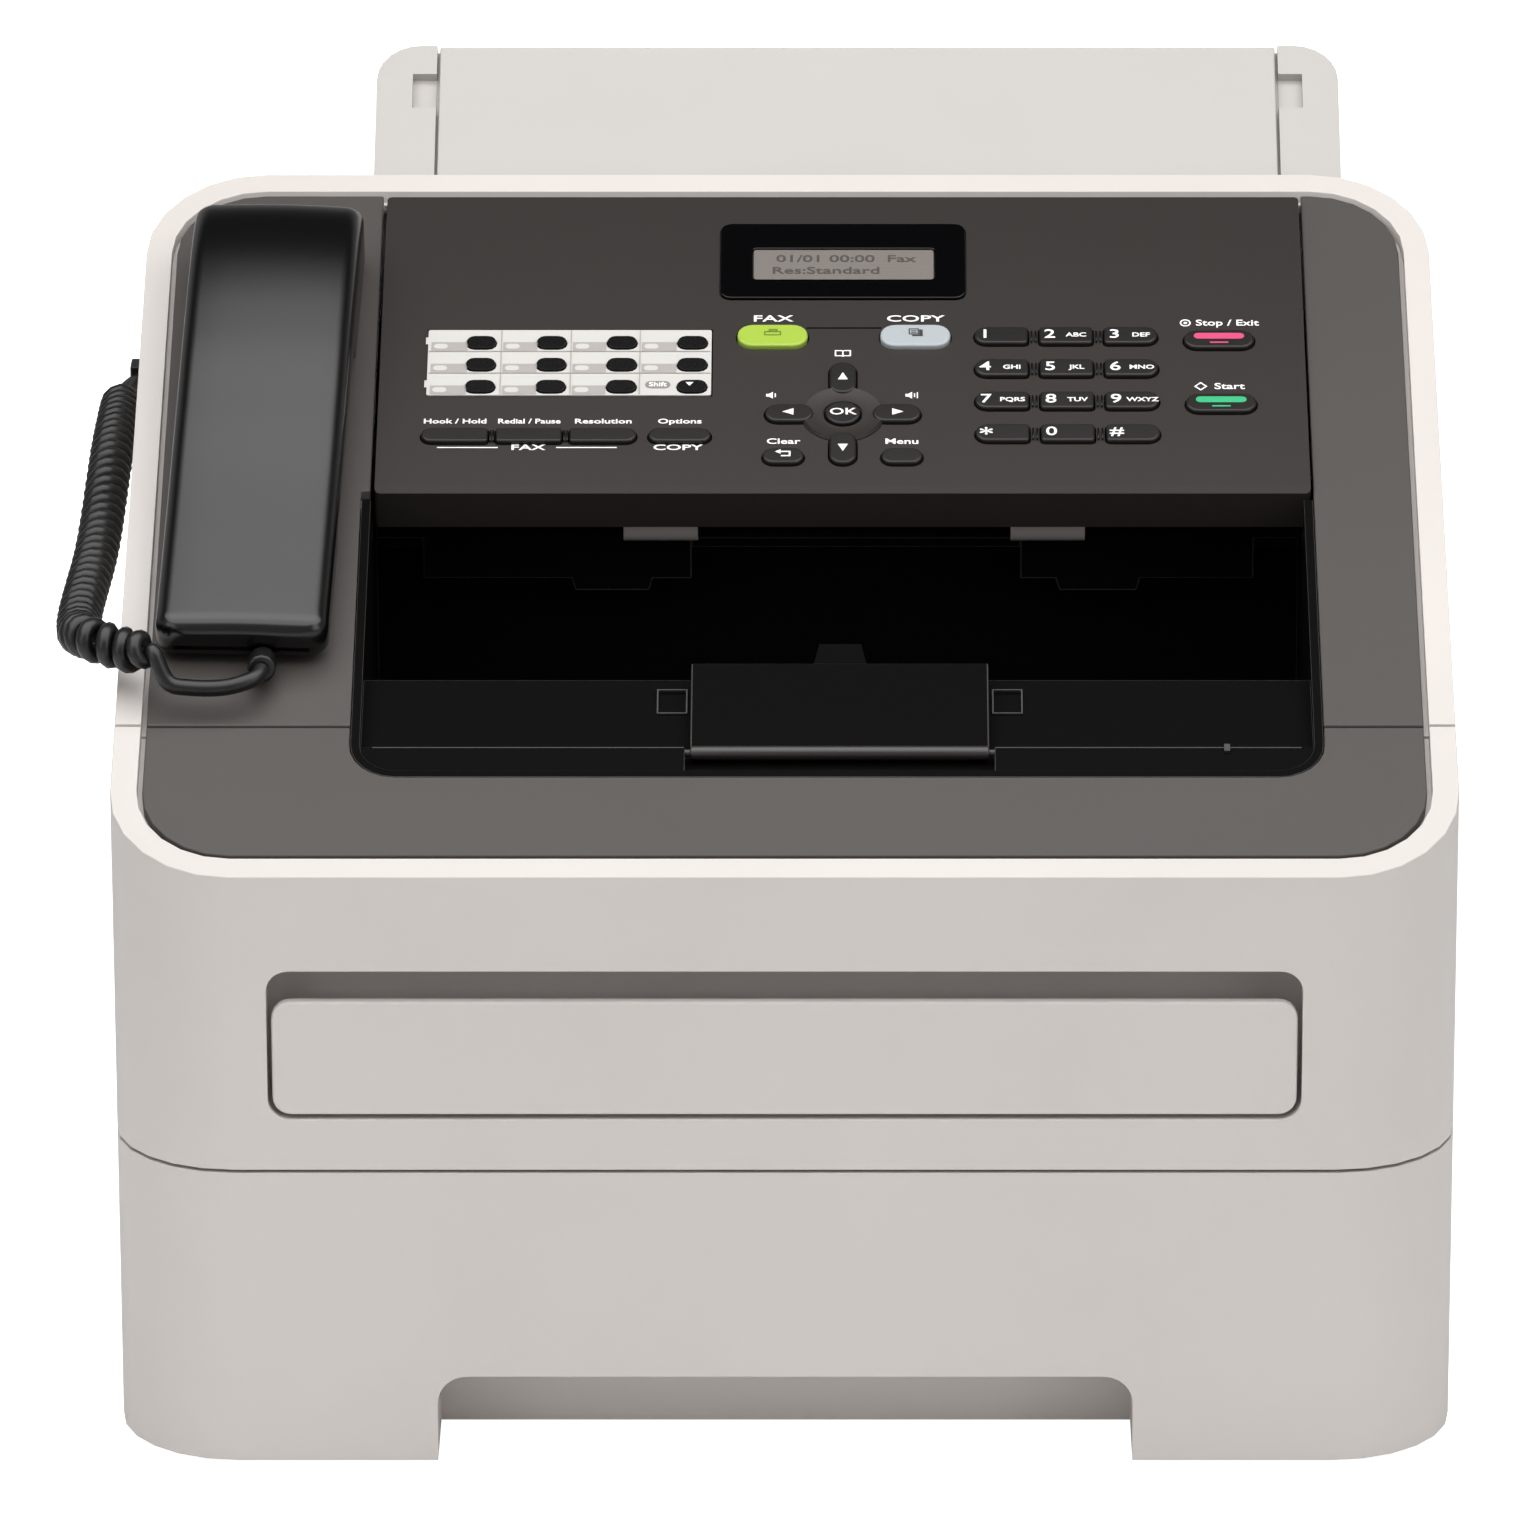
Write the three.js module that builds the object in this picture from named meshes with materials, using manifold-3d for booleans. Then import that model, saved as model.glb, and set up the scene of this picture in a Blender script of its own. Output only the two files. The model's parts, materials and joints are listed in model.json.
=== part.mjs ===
// A desktop laser fax machine with a corded handset, in millimetres, +Z up, front towards -Y.
import * as THREE from 'three';
import * as BufferGeometryUtils from 'three/addons/utils/BufferGeometryUtils.js';
import Module from 'manifold-3d';

const wasm = await Module();
wasm.setup();

// ---- driving dimensions ------------------------------------------------------------------
const WIDTH = 368; // body, left to right
const DEPTH = 362; // body, front to back
const TOP_DEPTH = 287; // front face to the back edge of the sloped top
const FRONT_HEIGHT = 173; // height of the front face
const SLOPE = THREE.MathUtils.degToRad(20.5); // rise of the top towards the back
const REAR_DECK = 240; // height of the low deck behind the sloped top
const CORNER = 33.5; // plan radius of the body corners
const REAR_CORNER = 20; // plan radius of the low rear corners
const WALL = 3; // outer shell walls
const SEAM = 0.9; // gap along the seams of the outer covers
const GAP = 0.3; // gap between fixed pieces that touch
const RUN = 1; // running clearance of sliding and turning pieces
const FOOT_HEIGHT = 3; // rubber feet under the base
const FOOT_RADIUS = 8;
const CASSETTE_TOP = 86.5; // top edge of the cassette front
const CASSETTE_WRAP = 46; // how far the cassette front wraps along the sides
const COVER_DEPTH = 58.5; // front cover, front to back
const RIM = 7.3; // width of the rim around the dark top plates
const GROOVE = 1.5; // groove between the rim and the plates
const PLATE = 3; // thickness of the dark plates
const TRAY_LEFT = -119; // output tray mouth
const TRAY_RIGHT = 147.5;
const TRAY_FRONT = 39.5;
const TRAY_BACK = 190;
const TRAY_CORNER = 12.5;
const TRAY_WALL = 2.5;
const LEDGE_DROP = 1.2; // front ledge of the tray, below the top
const LEDGE_DEPTH = 13;
const FLOOR_DROP = 5; // tray floor below the top behind the ledge
const CREST_DROP = 7; // and at its crest, where it turns down
const TRAY_CREST = 90; // up the slope from the front edge of the top
const TRAY_LOW = 148; // height of the floor at the back
const TRAY_SILL = 31.5; // top of the tray's back wall, above the front edge of the top
const PANEL_LEFT = -115.5; // control panel
const PANEL_RIGHT = 147;
const PANEL_FRONT = 162; // measured up the slope from the front edge of the top
const PANEL_BACK = 294;
const PANEL_LIP = 12.5; // depth of the panel's front and side lips
const PANEL_SKIN = 2.5;
const PANEL_RAISE = 1.5; // panel surface above the slope plane
const KEY_GAP = 0.4; // around each key in its hole
const KEY_STAND = 1.3; // key tops above the panel
const KEY_SINK = 4; // key stems below the panel surface
const FEED_WIDTH = 279; // manual feed cover
const FEED_HEIGHT = 33;
const FEED_BOTTOM = 103.5;
const FEED_PLATE = 3.5;
const FEED_RECESS_TOP = 145.5;
const FEED_RECESS_DEPTH = 16;
const GRIP_WIDTH = 191; // cut-out under the cassette front
const GRIP_HEIGHT = 26;
const GRIP_DEPTH = 28;
const BIN_WIDTH = 244; // paper bin of the cassette, outside
const BIN_HEIGHT = 30;
const BIN_LENGTH = 276;
const BIN_WALL = 2.5;
const HANDSET_LENGTH = 178;
const HANDSET_WIDTH = 48;
const HANDSET_FRONT = 88.5; // up the slope from the front edge of the top
const HANDSET_LEFT = -175;
const HANDSET_SKEW = THREE.MathUtils.degToRad(1.6);
const COIL_OUTER = 12.7;
const WIRE = 4.6;
const ARC = 6; // segments in a quarter-round corner
const HIGH = 400; // above everything

const FRONT = -DEPTH / 2;
const BACK = DEPTH / 2;
const HALF = WIDTH / 2;

const colours = {
  white: [0xd6d2ce, 0.55, 0],
  support: [0xe2dfdb, 0.5, 0],
  dark: [0x625d59, 0.55, 0],
  panel: [0x423d3b, 0.45, 0],
  black: [0x171717, 0.45, 0],
  gloss: [0x0b0b0c, 0.12, 0],
  screen: [0xbdb6b2, 0.3, 0],
  paper: [0xf0efec, 0.6, 0],
  key: [0x1b1a1a, 0.4, 0],
  lime: [0xb4e03a, 0.35, 0],
  pale: [0xc5ced3, 0.35, 0],
  roller: [0x8d8785, 0.8, 0],
  rubber: [0x222222, 0.9, 0],
  drum: [0x2b3a3f, 0.4, 0],
};

// ---- geometry helpers --------------------------------------------------------------------
function solid(geometry) {
  const bare = geometry.clone();
  bare.deleteAttribute('normal');
  bare.deleteAttribute('uv');
  const merged = BufferGeometryUtils.mergeVertices(bare, 1e-4);
  return new wasm.Manifold(
    new wasm.Mesh({
      numProp: 3,
      vertProperties: new Float32Array(merged.attributes.position.array),
      triVerts: new Uint32Array(merged.index.array),
    }),
  );
}

function toGeometry(manifold) {
  const mesh = manifold.getMesh();
  const geometry = new THREE.BufferGeometry();
  geometry.setAttribute('position', new THREE.BufferAttribute(mesh.vertProperties, 3));
  geometry.setIndex(new THREE.BufferAttribute(mesh.triVerts, 1));
  return geometry;
}

function boxGeometry(x0, x1, y0, y1, z0, z1) {
  const geometry = new THREE.BoxGeometry(x1 - x0, y1 - y0, z1 - z0);
  return geometry.translate((x0 + x1) / 2, (y0 + y1) / 2, (z0 + z1) / 2);
}

const box = (...sides) => solid(boxGeometry(...sides));

// A rectangle with its own radius at each corner: front-left, front-right, back-right, back-left.
function roundedShape(x0, x1, y0, y1, radii) {
  const [a, b, c, d] = Array.isArray(radii) ? radii : [radii, radii, radii, radii];
  const corners = [
    [x0 + a, y0 + a, a, Math.PI],
    [x1 - b, y0 + b, b, -Math.PI / 2],
    [x1 - c, y1 - c, c, 0],
    [x0 + d, y1 - d, d, Math.PI / 2],
  ];
  const points = [];
  for (const [cx, cy, r, start] of corners) {
    const steps = r > 0 ? Math.max(2, Math.min(ARC, Math.ceil(r))) : 0;
    for (let i = 0; i <= steps; i += 1) {
      const angle = start + (steps ? (i / steps) * (Math.PI / 2) : 0);
      points.push(new THREE.Vector2(cx + r * Math.cos(angle), cy + r * Math.sin(angle)));
    }
  }
  return new THREE.Shape(points);
}

// A plan outline raised between two heights.
function slabGeometry(shape, z0, z1) {
  const geometry = new THREE.ExtrudeGeometry(shape, { depth: z1 - z0, bevelEnabled: false });
  return geometry.translate(0, 0, z0);
}

const slab = (shape, z0, z1) => solid(slabGeometry(shape, z0, z1));

// An outline of [y, z] points carried from x0 to x1.
function sideGeometry(points, x0, x1) {
  const shape = new THREE.Shape(points.map(([y, z]) => new THREE.Vector2(y, z)));
  const geometry = new THREE.ExtrudeGeometry(shape, { depth: x1 - x0, bevelEnabled: false });
  const turn = new THREE.Matrix4().makeBasis(
    new THREE.Vector3(0, 1, 0),
    new THREE.Vector3(0, 0, 1),
    new THREE.Vector3(1, 0, 0),
  );
  return geometry.applyMatrix4(turn).translate(x0, 0, 0);
}

const side = (points, x0, x1) => solid(sideGeometry(points, x0, x1));

// An outline in X and Z carried from y0 back to y1.
function frontSlab(shape, y0, y1) {
  const geometry = new THREE.ExtrudeGeometry(shape, { depth: y1 - y0, bevelEnabled: false });
  const turn = new THREE.Matrix4().makeBasis(
    new THREE.Vector3(1, 0, 0),
    new THREE.Vector3(0, 0, 1),
    new THREE.Vector3(0, -1, 0),
  );
  return solid(geometry.applyMatrix4(turn).translate(0, y1, 0));
}

function rod(radius, x0, x1, y, z, sides = 20) {
  const geometry = new THREE.CylinderGeometry(radius, radius, x1 - x0, sides);
  return solid(geometry.rotateZ(Math.PI / 2).translate((x0 + x1) / 2, y, z));
}

// The frame of the sloped top: x to the right, y up the slope, z out of it.
const deckMatrix = new THREE.Matrix4()
  .makeRotationX(SLOPE)
  .setPosition(0, FRONT, FRONT_HEIGHT);

const onDeck = (geometry) => solid(geometry.clone().applyMatrix4(deckMatrix));

// Everything under the sloped top, lowered by a depth, from y0 to y1.
function belowTop(lower, y0, y1, bottom = -1, margin = 1) {
  const level = (y) => FRONT_HEIGHT + (y - FRONT) * Math.tan(SLOPE) - lower / Math.cos(SLOPE);
  const outline = [[y0, bottom], [y1, bottom], [y1, level(y1)], [y0, level(y0)]];
  return side(outline, -HALF - margin, HALF + margin);
}

const topAt = (y) => FRONT_HEIGHT + (y - FRONT) * Math.tan(SLOPE);

// ---- scene graph -------------------------------------------------------------------------
const group = new THREE.Group();
const deck = new THREE.Group();
deck.applyMatrix4(deckMatrix);
group.add(deck);

function add(name, piece, colour, parent = group) {
  const [color, roughness, metalness] = colours[colour];
  const material = new THREE.MeshStandardMaterial({ color, roughness, metalness });
  const mesh = new THREE.Mesh(toGeometry(piece), material);
  mesh.name = name;
  parent.add(mesh);
  return mesh;
}

// ---- body outlines -----------------------------------------------------------------------
const upperPlan = (inset) =>
  roundedShape(-HALF + inset, HALF - inset, FRONT + inset, FRONT + TOP_DEPTH - inset, CORNER - inset);
const lowerPlan = (inset) =>
  roundedShape(-HALF + inset, HALF - inset, FRONT + inset, BACK - inset,
    [CORNER - inset, CORNER - inset, REAR_CORNER - inset, REAR_CORNER - inset]);

// The body between two depths, inset from its outside by the same wall all over.
function bodyBlock(inset, y0, y1, z0, drop = inset, margin = 0) {
  const tall = topAt(FRONT + TOP_DEPTH) + 10;
  const high = slab(upperPlan(inset), z0, tall).intersect(belowTop(drop, FRONT - 5, BACK));
  const low = slab(lowerPlan(inset), z0, REAR_DECK - drop).intersect(belowTop(drop, FRONT - 5, BACK));
  return high.add(low).intersect(box(-HALF - 5, HALF + 5, y0 - margin, y1, z0, tall));
}

const inFront = FRONT + WALL;
const cassetteBack = FRONT + CASSETTE_WRAP;
const coverBack = FRONT + COVER_DEPTH;
const housingBottom = CASSETTE_TOP + SEAM;
const housingFront = coverBack + SEAM;

// ---- base and feet -----------------------------------------------------------------------
const baseFront = cassetteBack + SEAM;
const railInside = BIN_WIDTH / 2 + RUN;
const railTop = FOOT_HEIGHT + WALL + 25;
const inletWidth = 28; // power inlet recess in the back wall
const inletHeight = 20;
const inletDepth = 12;
const inletX = -130;
const inletZ = 45;
let base = slab(lowerPlan(0), FOOT_HEIGHT, CASSETTE_TOP)
  .intersect(box(-HALF - 1, HALF + 1, baseFront, BACK + 1, 0, CASSETTE_TOP))
  .subtract(slab(lowerPlan(WALL), FOOT_HEIGHT + WALL, CASSETTE_TOP + 1));
for (const sign of [-1, 1]) {
  const near = sign * railInside;
  const far = sign * (railInside + WALL);
  base = base.add(box(Math.min(near, far), Math.max(near, far), baseFront, BACK - WALL - 1,
    FOOT_HEIGHT + 1, railTop));
}
const inletBox = (grow, y0, y1) => box(inletX - inletWidth / 2 - grow, inletX + inletWidth / 2 + grow,
  y0, y1, inletZ - grow, inletZ + inletHeight + grow);
base = base.add(inletBox(WALL, BACK - inletDepth - WALL, BACK - 1))
  .subtract(inletBox(0, BACK - inletDepth, BACK + 1));
add('base_frame', base, 'white');

const footX = HALF - 26;
const footFront = baseFront + 14;
const footBack = BACK - 28;
for (const [name, x, y] of [
  ['foot_front_left', -footX, footFront],
  ['foot_front_right', footX, footFront],
  ['foot_back_left', -footX, footBack],
  ['foot_back_right', footX, footBack],
]) {
  const height = FOOT_HEIGHT - GAP;
  const foot = new THREE.CylinderGeometry(FOOT_RADIUS, FOOT_RADIUS, height, 24);
  add(name, solid(foot.rotateX(Math.PI / 2).translate(x, y, height / 2)), 'rubber');
}

// ---- paper cassette ----------------------------------------------------------------------
const cassetteBottom = 1;
const binBottom = FOOT_HEIGHT + WALL + RUN;
const binTop = binBottom + BIN_HEIGHT;
const binBack = cassetteBack + BIN_LENGTH;
const gripBack = FRONT + GRIP_DEPTH;
let cassette = slab(lowerPlan(0), cassetteBottom, CASSETTE_TOP)
  .subtract(slab(lowerPlan(WALL), cassetteBottom - 1, CASSETTE_TOP + 1))
  .intersect(box(-HALF - 1, HALF + 1, FRONT - 1, cassetteBack, 0, CASSETTE_TOP + 1));
const gripHalf = GRIP_WIDTH / 2;
cassette = cassette.subtract(
  frontSlab(roundedShape(-gripHalf, gripHalf, -10, GRIP_HEIGHT, [0, 0, 8, 8]), FRONT - 1, inFront + 1),
);
const gripWall = 2.5;
const gripBox = box(-gripHalf - gripWall, gripHalf + gripWall, inFront - 1, gripBack + gripWall,
  cassetteBottom, GRIP_HEIGHT + gripWall)
  .subtract(box(-gripHalf, gripHalf, FRONT - 1, gripBack, -1, GRIP_HEIGHT));
const binInside = gripBack + gripWall + 6;
const bin = box(-BIN_WIDTH / 2, BIN_WIDTH / 2, gripBack, binBack, binBottom, binTop)
  .subtract(box(-BIN_WIDTH / 2 + BIN_WALL, BIN_WIDTH / 2 - BIN_WALL, binInside,
    binBack - BIN_WALL, binBottom + BIN_WALL, binTop + 1));
cassette = cassette.add(gripBox).add(bin);
const webBottom = 20; // webs that carry the bin between the side walls
const webInner = HALF - 24;
const webOuter = HALF - 20;
const webFront = gripBack + 2;
const webBack = gripBack + 8;
for (const sign of [-1, 1]) {
  const web = (x0, x1, y0, y1) => box(Math.min(sign * x0, sign * x1), Math.max(sign * x0, sign * x1),
    y0, y1, webBottom, binTop);
  cassette = cassette.add(web(BIN_WIDTH / 2 - 1, webOuter, webFront, webFront + gripWall))
    .add(web(webInner, webOuter, webFront, webBack + gripWall))
    .add(web(webInner, HALF - WALL + 1, webBack, webBack + gripWall));
}
add('paper_cassette', cassette, 'white');

const liftLength = 190;
const liftSide = 10; // from the bin's wall to the plate
const liftWidth = BIN_WIDTH - 2 * BIN_WALL - 2 * liftSide;
const liftFront = binInside + RUN;
const liftHinge = liftFront + liftLength;
const liftZ = binBottom + BIN_WALL + RUN;
const liftThick = 1.6;
add('lift_plate', box(-liftWidth / 2, liftWidth / 2, liftFront, liftHinge, liftZ, liftZ + liftThick),
  'roller');

// ---- front cover -------------------------------------------------------------------------
const opening = (grow) => roundedShape(TRAY_LEFT - grow, TRAY_RIGHT + grow, FRONT + TRAY_FRONT - grow,
  FRONT + TRAY_BACK + grow, [TRAY_CORNER + grow, TRAY_CORNER + grow, 2, 2]);
const topZone = (inset, upper, lower) =>
  slab(upperPlan(inset), CASSETTE_TOP, HIGH)
    .intersect(belowTop(upper, FRONT - 5, BACK))
    .subtract(belowTop(lower, FRONT - 6, BACK + 1, -1, 2));
const pocketDepth = PLATE + GAP;
const underShell = belowTop(pocketDepth + WALL, FRONT - 5, BACK);
const upperHollow = slab(upperPlan(WALL), housingBottom - 1, HIGH).intersect(underShell);
const lowerHollow = slab(lowerPlan(WALL), housingBottom - 1, REAR_DECK - WALL).intersect(underShell);
let cover = bodyBlock(0, FRONT - 1, coverBack, housingBottom)
  .subtract(upperHollow)
  .subtract(topZone(RIM, -5, pocketDepth));
const feedGap = 1.3; // around the manual feed cover
const recessHalf = FEED_WIDTH / 2 + feedGap;
const recess = frontSlab(
  roundedShape(-recessHalf, recessHalf, FEED_BOTTOM - feedGap, FEED_RECESS_TOP, 6),
  FRONT - 1, FRONT + FEED_RECESS_DEPTH);
const recessOuter = frontSlab(
  roundedShape(-recessHalf - WALL, recessHalf + WALL, FEED_BOTTOM - feedGap - WALL,
    FEED_RECESS_TOP + WALL, 8),
  FRONT + 1, FRONT + FEED_RECESS_DEPTH + WALL);
cover = cover.add(recessOuter).subtract(recess).subtract(slab(opening(GAP), housingBottom - 1, HIGH));
add('front_cover', cover, 'white');

const feedCorner = 5;
const feedHalf = FEED_WIDTH / 2;
add('manual_feed_cover', frontSlab(
  roundedShape(-feedHalf, feedHalf, FEED_BOTTOM, FEED_BOTTOM + FEED_HEIGHT, feedCorner),
  FRONT + GAP, FRONT + GAP + FEED_PLATE), 'white');

const plateEdge = RIM + GROOVE;
const plateZone = topZone(plateEdge, GAP, PLATE);
const wide = HALF + 5;
add('front_top_plate', plateZone
  .intersect(box(-wide, wide, FRONT, coverBack, 0, HIGH))
  .subtract(slab(opening(GAP), 0, HIGH)), 'dark');

// ---- top housing and its dark plates -----------------------------------------------------
const panelSlot = 1.2; // gap on each side of the control panel
const panelHole = onDeck(boxGeometry(PANEL_LEFT - panelSlot, PANEL_RIGHT + panelSlot,
  PANEL_FRONT - 20, PANEL_BACK + panelSlot + RUN, -60, 30));
let housing = bodyBlock(0, housingFront, BACK, housingBottom)
  .subtract(upperHollow)
  .subtract(lowerHollow)
  .subtract(topZone(RIM, -5, pocketDepth))
  .subtract(slab(opening(GAP), housingBottom - 1, HIGH))
  .subtract(panelHole);
// Where documents enter, behind the panel.
const topBack = FRONT + TOP_DEPTH;
const topBackHeight = topAt(topBack);
const feedSlot = { x: 20, half: 115, bottom: topBackHeight - 17.8, top: topBackHeight - 10.3 };
housing = housing.subtract(box(feedSlot.x - feedSlot.half, feedSlot.x + feedSlot.half,
  topBack - WALL - 1, topBack + 1, feedSlot.bottom, feedSlot.top));
const rearOpening = { half: 120, bottom: 110, top: 200 };
housing = housing.subtract(box(-rearOpening.half, rearOpening.half, BACK - WALL - 1, BACK + 1,
  rearOpening.bottom, rearOpening.top));
const jackY = FRONT + 290;
const jackZ = 218;
const jackHalf = 4.6;
housing = housing.subtract(box(-HALF - 1, -HALF + WALL + 1, jackY - jackHalf, jackY + jackHalf,
  jackZ - jackHalf, jackZ + jackHalf));

const handsetMiddle = HANDSET_LEFT + HANDSET_WIDTH / 2 + 2;
const hookX = handsetMiddle; // hook switch under the handset's front half
const hookV = HANDSET_FRONT + 40;
const hookHalf = 4;
const hookHole = onDeck(boxGeometry(hookX - hookHalf - KEY_GAP, hookX + hookHalf + KEY_GAP,
  hookV - hookHalf - KEY_GAP, hookV + hookHalf + KEY_GAP, -20, 20));
add('top_housing', housing.subtract(hookHole), 'white');
const behindSeam = (x0, x1) => plateZone.intersect(box(x0, x1, housingFront, BACK, 0, HIGH));
const besidePanel = FRONT + (PANEL_FRONT + 2) * Math.cos(SLOPE);
const cradle = behindSeam(-wide, TRAY_LEFT - GAP)
  .add(behindSeam(-wide, PANEL_LEFT - panelSlot).intersect(box(-wide, wide, besidePanel, BACK, 0, HIGH)));
add('handset_cradle', cradle.subtract(hookHole), 'dark');
add('right_trim', behindSeam(Math.max(TRAY_RIGHT, PANEL_RIGHT) + GAP, wide), 'dark');

// ---- output tray, its flap and the exit --------------------------------------------------
const worldOf = (v, w) => [
  FRONT + v * Math.cos(SLOPE) - w * Math.sin(SLOPE),
  FRONT_HEIGHT + v * Math.sin(SLOPE) + w * Math.cos(SLOPE),
];
const mouth = TRAY_FRONT / Math.cos(SLOPE);
const ledgeEnd = mouth + LEDGE_DEPTH;
const trayTop = 0.5; // tray edge below the plates
const farBack = FRONT + TRAY_BACK + 3;
const floorStart = mouth - 3;
const underPanel = onDeck(boxGeometry(-HALF, HALF, PANEL_FRONT - RUN - 1, PANEL_BACK + 40,
  PANEL_RAISE - PANEL_SKIN - PANEL_LIP - 2 * RUN, 60));
const floorTop = [
  worldOf(floorStart, -LEDGE_DROP),
  worldOf(ledgeEnd, -LEDGE_DROP),
  worldOf(ledgeEnd, -FLOOR_DROP),
  worldOf(TRAY_CREST, -CREST_DROP),
  [farBack, TRAY_LOW],
];
const floorUnder = [
  worldOf(floorStart, -FLOOR_DROP - TRAY_WALL),
  worldOf(TRAY_CREST, -CREST_DROP - TRAY_WALL),
  [farBack, TRAY_LOW - TRAY_WALL],
];
const aboveLine = (line) => side(
  [...line, [line[line.length - 1][0], HIGH], [line[0][0], HIGH]], -HALF, HALF);
const trayPlan = (inset, far) => roundedShape(TRAY_LEFT + inset, TRAY_RIGHT - inset,
  FRONT + TRAY_FRONT + inset, FRONT + TRAY_BACK + far, [TRAY_CORNER - inset, TRAY_CORNER - inset, 0, 0]);
const flapX = 15;
const flapWidth = 82;
const notchHalf = flapWidth / 2 + 1.5;
const flapNotch = onDeck(boxGeometry(flapX - notchHalf, flapX + notchHalf, mouth + 2.5, ledgeEnd + 1,
  -FLOOR_DROP, 10));
const tray = slab(trayPlan(0, 0), 50, HIGH)
  .intersect(aboveLine(floorUnder))
  .intersect(belowTop(trayTop, FRONT - 1, BACK))
  .subtract(slab(trayPlan(TRAY_WALL, -TRAY_WALL), 50, 401).intersect(aboveLine(floorTop)))
  .subtract(box(TRAY_LEFT + TRAY_WALL, TRAY_RIGHT - TRAY_WALL, FRONT + TRAY_BACK - TRAY_WALL - 1,
    farBack, FRONT_HEIGHT + TRAY_SILL, HIGH))
  .subtract(underPanel)
  .subtract(flapNotch);
add('output_tray', tray, 'black');

const flapLength = 36;
const flapThick = 3;
const flapHingeV = ledgeEnd - 1;
const flapHingeW = -FLOOR_DROP + RUN + flapThick / 2;
const flapOutline = [
  [-flapThick / 2, -flapThick / 4],
  [-flapThick / 4, -flapThick / 2],
  [flapLength, -flapThick / 2],
  [flapLength, flapThick / 2],
  [-flapThick / 4, flapThick / 2],
  [-flapThick / 2, flapThick / 4],
].map(([v, w]) => worldOf(flapHingeV + v, flapHingeW + w));
add('output_flap', side(flapOutline, flapX - flapWidth / 2, flapX + flapWidth / 2), 'black');

const guideY = FRONT + 176;
const guideThick = 3;
const guideLow = FRONT_HEIGHT + 23;
const guideNotch = 3.5;
const guideHigh = FRONT_HEIGHT + 35;
const guideTop = FRONT_HEIGHT + 49;
const guideLeft = TRAY_LEFT + TRAY_WALL + GAP;
const guideRight = TRAY_RIGHT - TRAY_WALL - GAP;
const guide = new THREE.Shape([
  [guideLeft, guideHigh], [-103, guideHigh], [-103, guideLow], [-61, guideLow],
  [-60, guideLow - guideNotch], [-39, guideLow - guideNotch], [-38, guideLow], [-27, guideLow],
  [-27, guideHigh], [66, guideHigh], [66, guideLow], [76, guideLow],
  [77, guideLow - guideNotch], [99, guideLow - guideNotch], [100, guideLow], [132, guideLow],
  [132, guideHigh], [guideRight, guideHigh], [guideRight, guideTop], [guideLeft, guideTop],
].map(([x, z]) => new THREE.Vector2(x, z)));
const baseTopDrop = 16;
const feederBack = FRONT + 272;
const feederLow = FRONT_HEIGHT + 32;
const feeder = side([
  [guideY + 1, feederLow],
  [feederBack, feederLow],
  [feederBack, topAt(feederBack) - baseTopDrop],
  [guideY + 1, topAt(guideY + 1) - baseTopDrop],
], guideLeft, guideRight);
add('document_exit_guide', frontSlab(guide, guideY, guideY + guideThick).add(feeder), 'black');

const rollerY = FRONT + 168;
const rollerZ = FRONT_HEIGHT + 42.5;
const rollerRadius = 5;
const shaftRadius = 2.2;
const exitRoller = rod(shaftRadius, -108, 138, rollerY, rollerZ, 12)
  .add(rod(rollerRadius, -46, -25, rollerY, rollerZ))
  .add(rod(rollerRadius, 63, 84, rollerY, rollerZ));
add('exit_roller', exitRoller, 'roller');

// ---- control panel -----------------------------------------------------------------------
const keyTop = PANEL_RAISE + KEY_STAND;
const keyBottom = PANEL_RAISE - KEY_SINK;
const panelBottom = PANEL_RAISE - PANEL_SKIN - PANEL_LIP + 1.5;
const panelBevel = 2;
const keyShape = (key, grow = 0) => {
  const [x, v, w, h, r] = [key.x, key.v, key.w / 2 + grow, key.h / 2 + grow, key.r + grow];
  const radii = Array.isArray(key.r) ? key.r.map((one) => one + grow) : r;
  return roundedShape(x - w, x + w, v - h, v + h, radii);
};
const keys = [];
const padX = 79.2;
const padV = 229.7;
const padPitchX = 18.4;
const padPitchV = 14.5;
const padNames = [
  ['key_1', 'key_2', 'key_3'],
  ['key_4', 'key_5', 'key_6'],
  ['key_7', 'key_8', 'key_9'],
  ['key_star', 'key_0', 'key_hash'],
];
padNames.forEach((row, j) => row.forEach((name, i) => {
  const ends = [[3.4, 1, 1, 3.4], 1, [1, 3.4, 3.4, 1]][i];
  keys.push({ name, x: padX + (i - 1) * padPitchX, v: padV - j * padPitchV, w: 15.2, h: 7.4, r: ends,
    colour: 'key' });
}));
const functionV = 185.2;
[['key_hook', -93.6, 18.8], ['key_redial', -72.7, 18.6], ['key_resolution', -51.8, 18.8],
  ['key_options', -30.2, 17.6]].forEach(([name, x, w], i) => {
  const ends = [[2.8, 0.8, 0.8, 2.8], 0.8, [0.8, 2.8, 2.8, 0.8], 2.8][i];
  keys.push({ name, x, v: functionV, w, h: 6, r: ends, colour: 'key' });
});
const navX = 15.8;
const navV = 195;
const stopX = 122.7;
const clearV = 176;
const modeV = 229.6;
keys.push({ name: 'key_fax', x: -4.2, v: modeV, w: 20, h: 9.6, r: 4.4, colour: 'lime' });
keys.push({ name: 'key_copy', x: 36.4, v: modeV, w: 20, h: 9.6, r: 4.4, colour: 'pale' });
keys.push({ name: 'key_left', x: navX - 15.2, v: navV, w: 13.6, h: 7.6, r: 3.6, colour: 'key' });
keys.push({ name: 'key_right', x: navX + 15.2, v: navV, w: 13.6, h: 7.6, r: 3.6, colour: 'key' });
keys.push({ name: 'key_up', x: navX, v: navV + 15.6, w: 7.6, h: 13.6, r: 3.6, colour: 'key' });
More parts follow.
